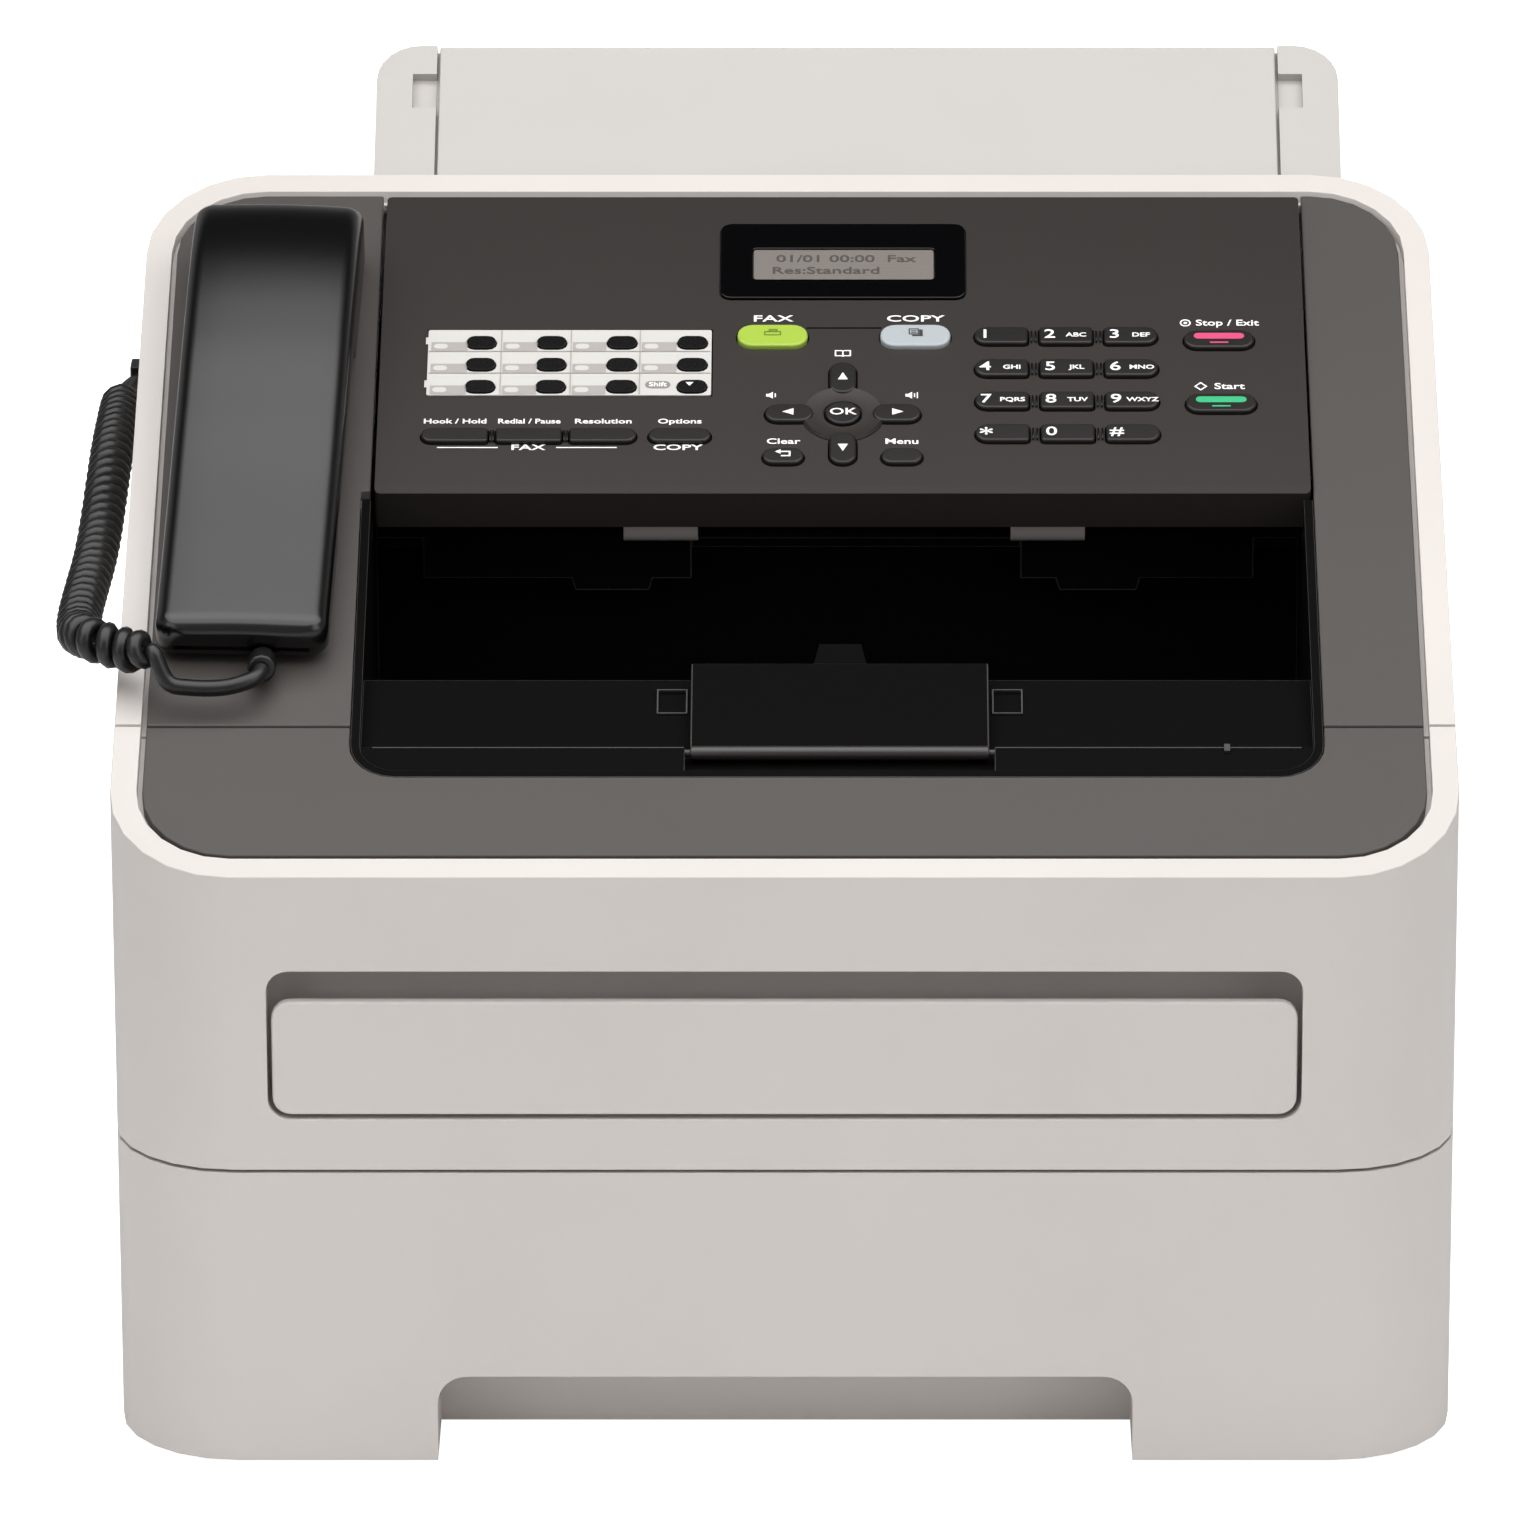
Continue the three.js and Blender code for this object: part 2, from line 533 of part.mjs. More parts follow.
keys.push({ name: 'key_down', x: navX, v: navV - 15.6, w: 7.6, h: 13.6, r: 3.6, colour: 'key' });
keys.push({ name: 'key_ok', x: navX, v: navV, w: 10, h: 10, r: 4.95, colour: 'key' });
keys.push({ name: 'key_clear', x: navX - 16.8, v: clearV, w: 11.6, h: 6.6, r: 3.1, colour: 'key' });
keys.push({ name: 'key_menu', x: navX + 16.6, v: clearV, w: 11.6, h: 6.6, r: 3.1, colour: 'key' });
keys.push({ name: 'key_stop', x: stopX, v: 228, w: 20, h: 8, r: 3.8, colour: 'key' });
keys.push({ name: 'key_start', x: stopX, v: 199.5, w: 20, h: 8, r: 3.8, colour: 'key' });

const touch = { x: -56.9, v: 216.6, pitchX: 20, pitchV: 9.85, w: 8.2, h: 5, r: 2.3 };
const touchKeys = [];
for (let j = -1; j <= 1; j += 1) {
  for (let i = -1.5; i <= 1.5; i += 1) {
    touchKeys.push({ ...touch, x: touch.x + i * touch.pitchX, v: touch.v + j * touch.pitchV });
  }
}
const sheet = { x0: -102, x1: -21.5, v0: 203.3, v1: 232.5 };
const bezel = { x: 15.8, v: 263.9, w: 70, h: 33.9, r: 3 };
const glass = { x: 16, v: 262.4, w: 51.5, h: 13.4, r: 0.8 };
const bezelPocket = 1;
const bezelRaise = 0.8;

const panelOutline = (inset) => roundedShape(PANEL_LEFT + inset, PANEL_RIGHT - inset,
  PANEL_FRONT + inset, PANEL_BACK - inset, 1.2);
const keyHole = (key) => slab(keyShape(key, KEY_GAP), -30, 30);
let panel = slab(panelOutline(0), panelBottom, PANEL_RAISE)
  .subtract(side([
    [PANEL_FRONT - 1, PANEL_RAISE + 1],
    [PANEL_FRONT - 1, PANEL_RAISE - panelBevel],
    [PANEL_FRONT + panelBevel + 1, PANEL_RAISE + 1],
  ], -HALF, HALF))
  .subtract(slab(panelOutline(PANEL_SKIN), panelBottom - 1, PANEL_RAISE - PANEL_SKIN))
  .subtract(slab(keyShape(bezel, GAP), PANEL_RAISE - bezelPocket, 30));
for (const key of [...keys, ...touchKeys]) panel = panel.subtract(keyHole(key));
add('control_panel', panel, 'panel', deck);

const bezelBottom = PANEL_RAISE - bezelPocket + GAP;
add('lcd_bezel', slab(keyShape(bezel), bezelBottom, PANEL_RAISE + bezelRaise)
  .subtract(slab(keyShape(glass, GAP), -30, 30)), 'gloss', deck);
add('lcd_glass', slab(keyShape(glass), bezelBottom, PANEL_RAISE + bezelRaise - 0.4), 'screen', deck);

const sheetThick = 0.4;
let sheetPiece = slab(roundedShape(sheet.x0, sheet.x1, sheet.v0, sheet.v1, 0.6),
  PANEL_RAISE + GAP / 2, PANEL_RAISE + GAP / 2 + sheetThick);
for (const key of touchKeys) sheetPiece = sheetPiece.subtract(keyHole(key));
add('label_sheet', sheetPiece, 'paper', deck);

const matBottom = PANEL_RAISE - PANEL_SKIN - 2.6;
let mat = slab(roundedShape(sheet.x0 + 4, sheet.x1 - 2, sheet.v0 + 1, sheet.v1 - 1, 1), matBottom,
  PANEL_RAISE - PANEL_SKIN - RUN);
for (const key of touchKeys) mat = mat.add(slab(keyShape(key), matBottom + 0.5, keyTop));
add('one_touch_keys', mat, 'key', deck);
for (const key of keys) add(key.name, slab(keyShape(key), keyBottom, keyTop), key.colour, deck);

// ---- document support --------------------------------------------------------------------
const supportX = 20;
const supportHalf = 140.5;
const flapHalf = 123;
const supportLow = { y: topBack + 5, z: topBackHeight - 12.3 };
const supportHigh = { y: supportLow.y + 54, z: supportLow.z + 33 };
const supportThick = 6;
const flapDepth = 3;
const supportTilt = Math.atan2(supportHigh.z - supportLow.z, supportHigh.y - supportLow.y);
const supportLength = Math.hypot(supportHigh.y - supportLow.y, supportHigh.z - supportLow.z);
const supportMatrix = new THREE.Matrix4().makeRotationX(supportTilt)
  .setPosition(supportX, supportLow.y, supportLow.z);
const onSupport = (geometry) => solid(geometry.clone().applyMatrix4(supportMatrix));
const pocket = { x: flapHalf + 3.5, half: 3.5, v0: supportLength - 24, v1: supportLength - 11 };
let support = onSupport(slabGeometry(roundedShape(-supportHalf, supportHalf, 0, supportLength,
  [0, 0, 13, 13]), -supportThick, 0))
  .subtract(onSupport(boxGeometry(-flapHalf, flapHalf, -1, supportLength + 1, -flapDepth - GAP, 1)));
for (const sign of [-1, 1]) {
  support = support.subtract(onSupport(boxGeometry(sign * pocket.x - pocket.half,
    sign * pocket.x + pocket.half, pocket.v0, pocket.v1, -flapDepth, 1)));
}
const legThick = 5;
for (const sign of [-1, 1]) {
  const x = supportX + sign * (supportHalf - 12);
  const back = supportHigh.y + 3;
  support = support.add(side([
    [supportLow.y + 3, REAR_DECK + GAP],
    [back, REAR_DECK + GAP],
    [back, supportHigh.z - 5],
    [supportLow.y + 3, supportLow.z - 3],
  ], x - legThick / 2, x + legThick / 2));
}
add('document_tray', support, 'support');
const supportFlap = onSupport(boxGeometry(-flapHalf + 0.8, flapHalf - 0.8, 1, supportLength - 0.5,
  -flapDepth, 0));
add('support_flap', supportFlap, 'support');

// ---- handset, hook switch ----------------------------------------------------------------
const handsetProfile = [
  [0, 4.5], [2, 2.5], [44, 2.5], [48, 7], [128, 8], [132, 1.2], [176, 1.2], [HANDSET_LENGTH, 4],
  [HANDSET_LENGTH, 17], [HANDSET_LENGTH - 5, 22], [HANDSET_LENGTH - 22, 24.5], [150, 25], [120, 23],
  [90, 20], [60, 17.5], [30, 15.5], [8, 14.5], [1.5, 12.5], [0, 9],
];
const handsetPlan = slab(roundedShape(-HANDSET_WIDTH / 2, HANDSET_WIDTH / 2, 0, HANDSET_LENGTH,
  [4, 4, 7, 7]), -5, 60);
const handsetBody = side(handsetProfile, -HANDSET_WIDTH, HANDSET_WIDTH).intersect(handsetPlan);
const handset = add('handset', handsetBody, 'key', deck);
handset.rotation.z = -HANDSET_SKEW;
handset.position.set(handsetMiddle - 1, HANDSET_FRONT, 0);

const hookRise = 2;
add('hook_switch', slab(roundedShape(hookX - hookHalf, hookX + hookHalf, hookV - hookHalf,
  hookV + hookHalf, 1), -12, hookRise), 'key', deck);

// ---- back cover and toner unit ------------------------------------------------------------
add('rear_cover', box(-rearOpening.half + RUN, rearOpening.half - RUN, BACK - WALL, BACK,
  rearOpening.bottom + RUN, rearOpening.top - RUN), 'white');
const drumY = FRONT + 110;
const drumZ = 118;
const drumUnit = rod(13, -115, 115, drumY, drumZ, 24)
  .add(box(-118, 118, drumY + 2, drumY + 62, drumZ - 16, drumZ + 14));
add('toner_drum_unit', drumUnit, 'drum');

// ---- handset cord ------------------------------------------------------------------------
const handsetEnd = new THREE.Vector3(handsetMiddle, HANDSET_FRONT, 6.5).applyMatrix4(deckMatrix);
const lead = [
  handsetEnd.clone().add(new THREE.Vector3(5, -10.2, -3.4)),
  handsetEnd.clone().add(new THREE.Vector3(3, -13.5, -4.5)),
  handsetEnd.clone().add(new THREE.Vector3(-5, -16.3, -6)),
  handsetEnd.clone().add(new THREE.Vector3(-15, -16.3, -6)),
  handsetEnd.clone().add(new THREE.Vector3(-20.5, -15.6, -4.6)),
];
const coilPath = [
  handsetEnd.clone().add(new THREE.Vector3(-24.3, -13.4, 3)),
  new THREE.Vector3(-HALF + 4, FRONT + 72, 212),
  new THREE.Vector3(-HALF - 8, FRONT + 80, 213),
  new THREE.Vector3(-HALF - 12, FRONT + 104, 209),
  new THREE.Vector3(-HALF - 10, FRONT + 162, 211),
  new THREE.Vector3(-HALF - 9, FRONT + 217, 219),
  new THREE.Vector3(-HALF - 8.5, FRONT + 266, 219),
];
function tube(points, radius, sides, steps) {
  const section = new THREE.Shape(new THREE.Path().absarc(0, 0, radius, 0, 2 * Math.PI)
    .getSpacedPoints(sides).slice(0, sides));
  const path = new THREE.CatmullRomCurve3(points);
  return solid(new THREE.ExtrudeGeometry(section, { steps, extrudePath: path, bevelEnabled: false }));
}
add('cord_lead', tube(lead, WIRE / 2, 8, 14), 'rubber');
add('cord_coil', tube(coilPath, COIL_OUTER / 2, 10, 26), 'rubber');
const tail = [
  new THREE.Vector3(-HALF - 8.5, FRONT + 267, 219),
  new THREE.Vector3(-HALF - 7.5, FRONT + 276, 219),
  new THREE.Vector3(-HALF - 5, FRONT + 285.4, jackZ),
];
add('cord_tail', tube(tail, WIRE / 2, 8, 6), 'rubber');
const bootShape = new THREE.CylinderGeometry(4, 4, 8, 12);
add('cord_boot', solid(bootShape.translate(handsetEnd.x + 5, handsetEnd.y - 4.9, handsetEnd.z - 3.4)),
  'rubber');
const plugHalf = 4;
add('cord_plug', box(-HALF - 7.5, -HALF + 2, jackY - plugHalf, jackY + plugHalf, jackZ - plugHalf,
  jackZ + plugHalf), 'black');

export default group;
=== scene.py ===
"""The looks of a desktop laser fax machine with a corded handset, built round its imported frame."""
import json
import math

import bpy
from mathutils import Matrix, Vector


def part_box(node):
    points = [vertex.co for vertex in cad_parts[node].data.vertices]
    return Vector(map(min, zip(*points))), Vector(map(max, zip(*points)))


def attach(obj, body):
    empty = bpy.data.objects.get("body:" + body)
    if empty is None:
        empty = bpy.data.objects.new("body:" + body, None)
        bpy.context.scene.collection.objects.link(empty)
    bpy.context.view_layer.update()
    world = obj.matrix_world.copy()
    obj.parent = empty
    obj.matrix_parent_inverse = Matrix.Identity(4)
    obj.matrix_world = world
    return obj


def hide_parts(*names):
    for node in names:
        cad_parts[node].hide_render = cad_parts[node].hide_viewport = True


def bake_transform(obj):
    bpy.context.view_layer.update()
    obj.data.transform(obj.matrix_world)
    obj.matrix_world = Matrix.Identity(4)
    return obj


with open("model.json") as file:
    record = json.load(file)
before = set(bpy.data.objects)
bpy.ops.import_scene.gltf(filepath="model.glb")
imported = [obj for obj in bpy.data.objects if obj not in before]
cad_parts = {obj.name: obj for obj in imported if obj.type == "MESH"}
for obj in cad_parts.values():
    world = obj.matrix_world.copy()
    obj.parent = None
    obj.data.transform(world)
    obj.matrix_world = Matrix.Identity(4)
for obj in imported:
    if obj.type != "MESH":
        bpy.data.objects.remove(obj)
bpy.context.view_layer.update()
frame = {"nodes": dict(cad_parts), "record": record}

MM = 0.001
SLOPE = math.radians(20.5)
TOP_HEIGHT = 173 * MM
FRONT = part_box("front_cover")[0][1]
DECK = Matrix.Translation((0, FRONT, TOP_HEIGHT)) @ Matrix.Rotation(SLOPE, 4, "X")
PRINT_LIFT = 0.06 * MM


# ---- small helpers ----------------------------------------------------------------------
def linear(colour):
    """An sRGB hex colour as linear red, green, blue and alpha."""
    parts = [int(colour[i:i + 2], 16) / 255 for i in (0, 2, 4)]
    return [*[c / 12.92 if c <= 0.04045 else ((c + 0.055) / 1.055) ** 2.4 for c in parts], 1.0]


def grey(value):
    return (value, value, value, 1.0)


def node(tree, kind, inputs=None, **settings):
    """Adds a node, gives it its settings, and fills its sockets with values or links."""
    made = tree.nodes.new(kind)
    for key, value in settings.items():
        setattr(made, key, value)
    for key, value in (inputs or {}).items():
        if isinstance(value, bpy.types.NodeSocket):
            tree.links.new(value, made.inputs[key])
        else:
            made.inputs[key].default_value = value
    return made


def start_material(name):
    material = bpy.data.materials.new(name)
    material.use_nodes = True
    tree = material.node_tree
    tree.nodes.clear()
    place = node(tree, "ShaderNodeTexCoord").outputs["Object"]
    return material, tree, place


def finish_material(tree, inputs):
    shader = node(tree, "ShaderNodeBsdfPrincipled", inputs)
    node(tree, "ShaderNodeOutputMaterial", {"Surface": shader.outputs[0]})


def moulded(name, colour, roughness, grain_mm, depth_mm, spread=0.04, coat=0.0, shine=0.5):
    """Injection-moulded plastic: even colour, with the fine spark-eroded grain of its tool."""
    material, tree, place = start_material(name)
    grain = node(tree, "ShaderNodeTexNoise", {
        "Vector": place, "Scale": 1 / (grain_mm * MM), "Detail": 2.0, "Roughness": 0.6})
    cloud = node(tree, "ShaderNodeTexNoise", {"Vector": place, "Scale": 18.0, "Detail": 3.0})
    low = [c * (1 - spread) for c in linear(colour)[:3]] + [1.0]
    high = [min(1.0, c * (1 + spread)) for c in linear(colour)[:3]] + [1.0]
    tone = node(tree, "ShaderNodeMix", {
        "Factor": cloud.outputs["Fac"], 6: low, 7: high}, data_type="RGBA")
    rough = node(tree, "ShaderNodeMapRange", {
        "Value": grain.outputs["Fac"], "To Min": roughness - 0.06, "To Max": roughness + 0.06})
    bump = node(tree, "ShaderNodeBump", {
        "Height": grain.outputs["Fac"], "Strength": 0.5, "Distance": depth_mm * MM})
    finish_material(tree, {
        "Base Color": tone.outputs[2], "Roughness": rough.outputs[0],
        "Normal": bump.outputs[0], "IOR": 1.5, "Specular IOR Level": shine, "Coat Weight": coat})
    return material


def printed(name, colour, glow=0.0):
    """Pad-printed ink: flat, matt and thin."""
    material, tree, place = start_material(name)
    speck = node(tree, "ShaderNodeTexNoise", {"Vector": place, "Scale": 2500.0, "Detail": 1.0})
    tone = node(tree, "ShaderNodeMix", {
        "Factor": speck.outputs["Fac"],
        6: [c * 0.93 for c in linear(colour)[:3]] + [1.0],
        7: linear(colour)}, data_type="RGBA")
    finish_material(tree, {
        "Base Color": tone.outputs[2], "Roughness": 0.6, "IOR": 1.45,
        "Emission Color": grey(1.0), "Emission Strength": glow})
    return material


def lcd_screen(name):
    """A reflective liquid crystal behind clear plastic: pale warm grey with a faint grid of dots."""
    material, tree, place = start_material(name)
    dots = node(tree, "ShaderNodeTexVoronoi", {
        "Vector": place, "Scale": 1 / (0.6 * MM), "Randomness": 0.0}, distance="CHEBYCHEV")
    tone = node(tree, "ShaderNodeMix", {
        "Factor": dots.outputs["Distance"],
        6: linear("7b7571"), 7: linear("6e6965")}, data_type="RGBA")
    finish_material(tree, {"Base Color": tone.outputs[2], "Roughness": 0.22, "IOR": 1.49})
    return material


def deselect():
    if bpy.context.object and bpy.context.object.mode != "OBJECT":
        bpy.ops.object.mode_set(mode="OBJECT")
    bpy.ops.object.select_all(action="DESELECT")


def activate(piece):
    deselect()
    piece.select_set(True)
    bpy.context.view_layer.objects.active = piece


def give(piece, material):
    piece.data.materials.clear()
    piece.data.materials.append(material)


def settle(piece, matrix):
    """Puts a piece's place into its mesh and leaves its object at the origin."""
    piece.data.transform(matrix @ piece.matrix_basis)
    piece.matrix_basis = Matrix.Identity(4)
    piece.data.update()


def deck_box(name):
    """The lowest and highest corners of a node, measured along the sloped top."""
    flat = DECK.inverted()
    points = [flat @ v.co for v in frame["nodes"][name].data.vertices]
    return [[pick(p[i] for p in points) for i in range(3)] for pick in (min, max)]


def deck_middle(name):
    low, high = deck_box(name)
    return (low[0] + high[0]) / 2, (low[1] + high[1]) / 2


def body_of_node(name):
    for body, nodes in frame["record"]["behaviour"]["bodies"].items():
        if name in nodes:
            return body


def refine(name, material, bevel_mm, segments=3, angle=32, join_faces=True, edge=None):
    """A moulded piece in place of its node, with joined faces and softly rounded edges."""
    piece = bpy.data.objects.new(name + "_moulding", frame["nodes"][name].data.copy())
    bpy.context.collection.objects.link(piece)
    activate(piece)
    bpy.ops.object.mode_set(mode="EDIT")
    bpy.ops.mesh.select_all(action="SELECT")
    bpy.ops.mesh.remove_doubles(threshold=0.01 * MM)
    if join_faces:
        bpy.ops.mesh.dissolve_limited(angle_limit=math.radians(0.6))
    bpy.ops.object.mode_set(mode="OBJECT")
    give(piece, material)
    if edge:
        piece.data.materials.append(edge)
    if bevel_mm:
        bevel = piece.modifiers.new("edges", "BEVEL")
        bevel.width = bevel_mm * MM
        bevel.segments = segments
        bevel.limit_method = "ANGLE"
        bevel.angle_limit = math.radians(angle)
        bevel.use_clamp_overlap = True
        # with an edge finish given, the bevel faces take it: a painted highlight line along every
        # rounded edge
        bevel.material = 1 if edge else -1
        bpy.ops.object.modifier_apply(modifier=bevel.name)
    bpy.ops.object.shade_smooth_by_angle(angle=math.radians(angle + 4))
    weigh = piece.modifiers.new("flat_faces", "WEIGHTED_NORMAL")
    weigh.keep_sharp = True
    weigh.weight = 80
    bpy.ops.object.modifier_apply(modifier=weigh.name)
    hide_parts(name)
    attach(piece, body_of_node(name))
    return piece


def lettering(name, words, size_mm, x, v, lift, material, body, turn=0.0, wide=1.0):
    """Flat printed letters or signs on a plane parallel to the sloped top."""
    deselect()
    bpy.ops.object.text_add(location=(0, 0, 0))
    piece = bpy.context.object
    piece.name = name
    piece.data.body = words
    piece.data.size = size_mm * MM
    piece.data.align_x = "CENTER"
    piece.data.align_y = "CENTER"
    piece.data.extrude = 0.02 * MM
    piece.data.offset = 0.055 * MM
    piece.data.resolution_u = 3
    bpy.ops.object.convert(target="MESH")
    place = Matrix.Translation((x, v, lift + PRINT_LIFT)) @ Matrix.Rotation(turn, 4, "Z")
    settle(piece, DECK @ place @ Matrix.Diagonal((wide, 1, 1, 1)))
    give(piece, material)
    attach(piece, body)
    return piece


def mark(name, outlines, lift, material, body, thick_mm=0.05):
    """A thin flat sign, from outlines of points on the plane of the sloped top."""
    points, faces = [], []
    for outline in outlines:
        faces.append(list(range(len(points), len(points) + len(outline))))
        points += [(x, v, lift) for x, v in outline]
    mesh = bpy.data.meshes.new(name)
    mesh.from_pydata(points, [], faces)
    piece = bpy.data.objects.new(name, mesh)
    bpy.context.collection.objects.link(piece)
    activate(piece)
    solidify = piece.modifiers.new("ink", "SOLIDIFY")
    solidify.thickness = thick_mm * MM
    solidify.offset = 1
    bpy.ops.object.modifier_apply(modifier=solidify.name)
    settle(piece, DECK)
    give(piece, material)
    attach(piece, body)
    return piece


def bar(x0, x1, v0, v1):
    return [(x0, v0), (x1, v0), (x1, v1), (x0, v1)]


def around(x, v, sizes_mm):
    """Bars given in millimetres round a middle point."""
    return [bar(x + a * MM, x + b * MM, v + c * MM, v + d * MM) for a, b, c, d in sizes_mm]


def box_line(x0, x1, v0, v1, line):
    """The four strokes of a rectangle's outline, as bars."""
    return [(x0, x0 + line, v0, v1), (x1 - line, x1, v0, v1),
            (x0 + line, x1 - line, v0, v0 + line), (x0 + line, x1 - line, v1 - line, v1)]


def ring_line(x, v, outer_mm, inner_mm, sides, turn=0.0):
    """The strokes of a ring or diamond, as four-cornered outlines."""
    angles = [turn + 2 * math.pi * i / sides for i in range(sides + 1)]
    at = [(math.cos(a) * MM, math.sin(a) * MM) for a in angles]
    return [[(x + c * inner_mm, v + s * inner_mm), (x + c * outer_mm, v + s * outer_mm),
             (x + e * outer_mm, v + f * outer_mm), (x + e * inner_mm, v + f * inner_mm)]
            for (c, s), (e, f) in zip(at, at[1:])]


def shifted(x, v, points_mm, flip=1):
    return [(x + flip * a * MM, v + b * MM) for a, b in points_mm]


def pill(x, v, half_w_mm, half_h_mm):
    """A flat shape with round ends."""
    r = half_h_mm
    ends = [math.radians(a) for a in range(-90, 91, 30)]
    right = [(half_w_mm - r + r * math.cos(a), r * math.sin(a)) for a in ends]
    return shifted(x, v, right + [(-px, -pv) for px, pv in right])


# ---- camera, floor and light -------------------------------------------------------------
CAMERA_PITCH = math.radians(20.5)
CAMERA_BACK = 3130.8 * MM
CAMERA_RIGHT = 17.8 * MM
CAMERA_HEIGHT = 1377.3 * MM
camera_data = bpy.data.cameras.new("camera")
camera_data.sensor_width = 36
camera_data.lens = 293.5
camera_data.shift_x = -0.0588
camera_data.clip_end = 30
camera = bpy.data.objects.new("camera", camera_data)
camera.location = (CAMERA_RIGHT, FRONT - CAMERA_BACK, CAMERA_HEIGHT)
camera.rotation_euler = (math.pi / 2 - CAMERA_PITCH, 0, 0)
bpy.context.collection.objects.link(camera)
bpy.context.scene.camera = camera
bpy.context.scene.view_settings.view_transform = "Standard"


def area_light(name, place, target, size, power, colour="ffffff"):
    data = bpy.data.lights.new(name, "AREA")
    data.shape = "RECTANGLE"
    data.size, data.size_y = size
    data.energy = power
    data.color = linear(colour)[:3]
    lamp = bpy.data.objects.new(name, data)
    lamp.location = place
    lamp.rotation_euler = (Vector(target) - Vector(place)).to_track_quat("-Z", "Y").to_euler()
    lamp.visible_camera = False
    bpy.context.collection.objects.link(lamp)


area_light("top_bank", (0, -0.24, 0.85), (0, -0.24, 0.2), (1.5, 0.98), 10.5)
area_light("overhead", (0, 0.1, 2.2), (0, 0.05, 0.2), (2.2, 1.2), 6)
area_light("left_front", (-1.8, -1.9, 1.1), (0, 0, 0.12), (1.6, 1.4), 8)
area_light("right_front", (1.9, -1.7, 1.0), (0, 0, 0.12), (1.4, 1.4), 8)

SKY = 0.32  # the room round the machine is pale, and dark only above and behind it
world = bpy.data.worlds.new("studio")
world.use_nodes = True
sky = world.node_tree
sky.nodes.clear()
aim = node(sky, "ShaderNodeSeparateXYZ", {0: node(sky, "ShaderNodeTexCoord").outputs["Generated"]})
behind = node(sky, "ShaderNodeMapRange", {
    "Value": aim.outputs["Y"], "From Min": -0.1, "From Max": 0.3, "To Min": 0.0, "To Max": 1.0})
above = node(sky, "ShaderNodeMapRange", {
    "Value": aim.outputs["Z"], "From Min": 0.2, "From Max": 0.6, "To Min": 0.0, "To Max": 1.0})
shade = node(sky, "ShaderNodeMath", {0: behind.outputs[0], 1: above.outputs[0]}, operation="MULTIPLY")
glow = node(sky, "ShaderNodeMapRange", {"Value": shade.outputs[0], "To Min": SKY, "To Max": 0.02})
backdrop = node(sky, "ShaderNodeBackground", {"Color": grey(1.0), "Strength": glow.outputs[0]})
node(sky, "ShaderNodeOutputWorld", {"Surface": backdrop.outputs[0]})
bpy.context.scene.world = world

deselect()
bpy.ops.mesh.primitive_plane_add(size=14, location=(0, 3, -0.0005))
floor = bpy.context.object
floor.name = "floor"
give(floor, printed("pale_studio_paper", "ffffff", glow=0.5))
floor_nodes = floor.data.materials[0].node_tree
for shader in [n for n in floor_nodes.nodes if n.type == "BSDF_PRINCIPLED"]:
    seen = node(floor_nodes, "ShaderNodeLightPath").outputs["Is Camera Ray"]
    floor_nodes.links.new(seen, shader.inputs["Emission Strength"])


# ---- finishes ----------------------------------------------------------------------------
white_abs = moulded("moulded_abs_warm_white", "cac4c0", 0.42, 0.5, 0.01)
# the warm white ABS made darker: painted shade that holds down the brightly lit document support and its
# flap
white_abs_painted_shade = moulded("moulded_abs_white_painted_shade", "b3afab", 0.5, 0.5, 0.01)
charcoal_abs = moulded("textured_abs_charcoal", "4a4644", 0.45, 0.6, 0.05, shine=0.3)
panel_abs = moulded("textured_abs_panel_brown_black", "2b2725", 0.4, 0.6, 0.04, shine=0.3)
tray_abs = moulded("textured_abs_black", "050505", 0.65, 0.6, 0.05, shine=0.05)
handset_abs = moulded("satin_abs_black", "080707", 0.22, 0.35, 0.004, shine=0.6)
key_abs = moulded("polished_abs_key_black", "0b0a0a", 0.26, 0.35, 0.003, shine=0.3)
keycap_abs = moulded("polished_abs_keycap", "1d1b1a", 0.3, 0.35, 0.003, shine=0.35)
gloss_acrylic = moulded("gloss_acrylic_black", "050506", 0.08, 0.8, 0.001, shine=0.35)
lime_cap = moulded("translucent_pc_lime", "9cb843", 0.25, 0.4, 0.003, spread=0.08)
pale_cap = moulded("translucent_pc_pale_blue", "a7adb1", 0.25, 0.4, 0.003)
red_bar = moulded("moulded_pc_pink_red", "cf4a78", 0.3, 0.4, 0.003)
green_bar = moulded("moulded_pc_green", "35ad75", 0.3, 0.4, 0.003)
# a dark grey, lighter than the black tray: on the tray's bevelled edges, pocket outlines and ledge line
# it is a painted highlight; the flap pins and tray stub also take it
dark_grey_abs_and_edge_highlight = moulded("dark_grey_abs_and_painted_edge_highlight", "35322f", 0.4, 0.4, 0.003)
bar_abs = moulded("satin_abs_bar_grey", "2c2928", 0.32, 0.4, 0.003, shine=0.6)
cord_pvc = moulded("extruded_pvc_black", "121212", 0.34, 0.5, 0.006)
foot_rubber = moulded("moulded_rubber_black", "1c1c1c", 0.85, 0.8, 0.06)
roller_rubber = moulded("ground_epdm_grey", "b0a9a6", 0.8, 0.4, 0.04)
toner_abs = moulded("moulded_abs_blue_black", "2b3a3f", 0.4, 0.5, 0.02)
plate_steel = moulded("pressed_galvanised_grey", "a2a3a1", 0.4, 1.2, 0.01)
sheet_paper = printed("coated_label_card", "c4c2be")
stripe_ink = printed("pad_ink_warm_grey", "a29d9a")
white_ink = printed("pad_ink_white", "f4f2f0")
dark_ink = printed("pad_ink_dark", "35312f")
shift_ink = printed("pad_ink_grey", "85807c")
icon_ink = printed("pad_ink_olive", "5c7a12")
screen_dark = printed("liquid_crystal_dark", "45403d")
screen_face = lcd_screen("reflective_lcd")


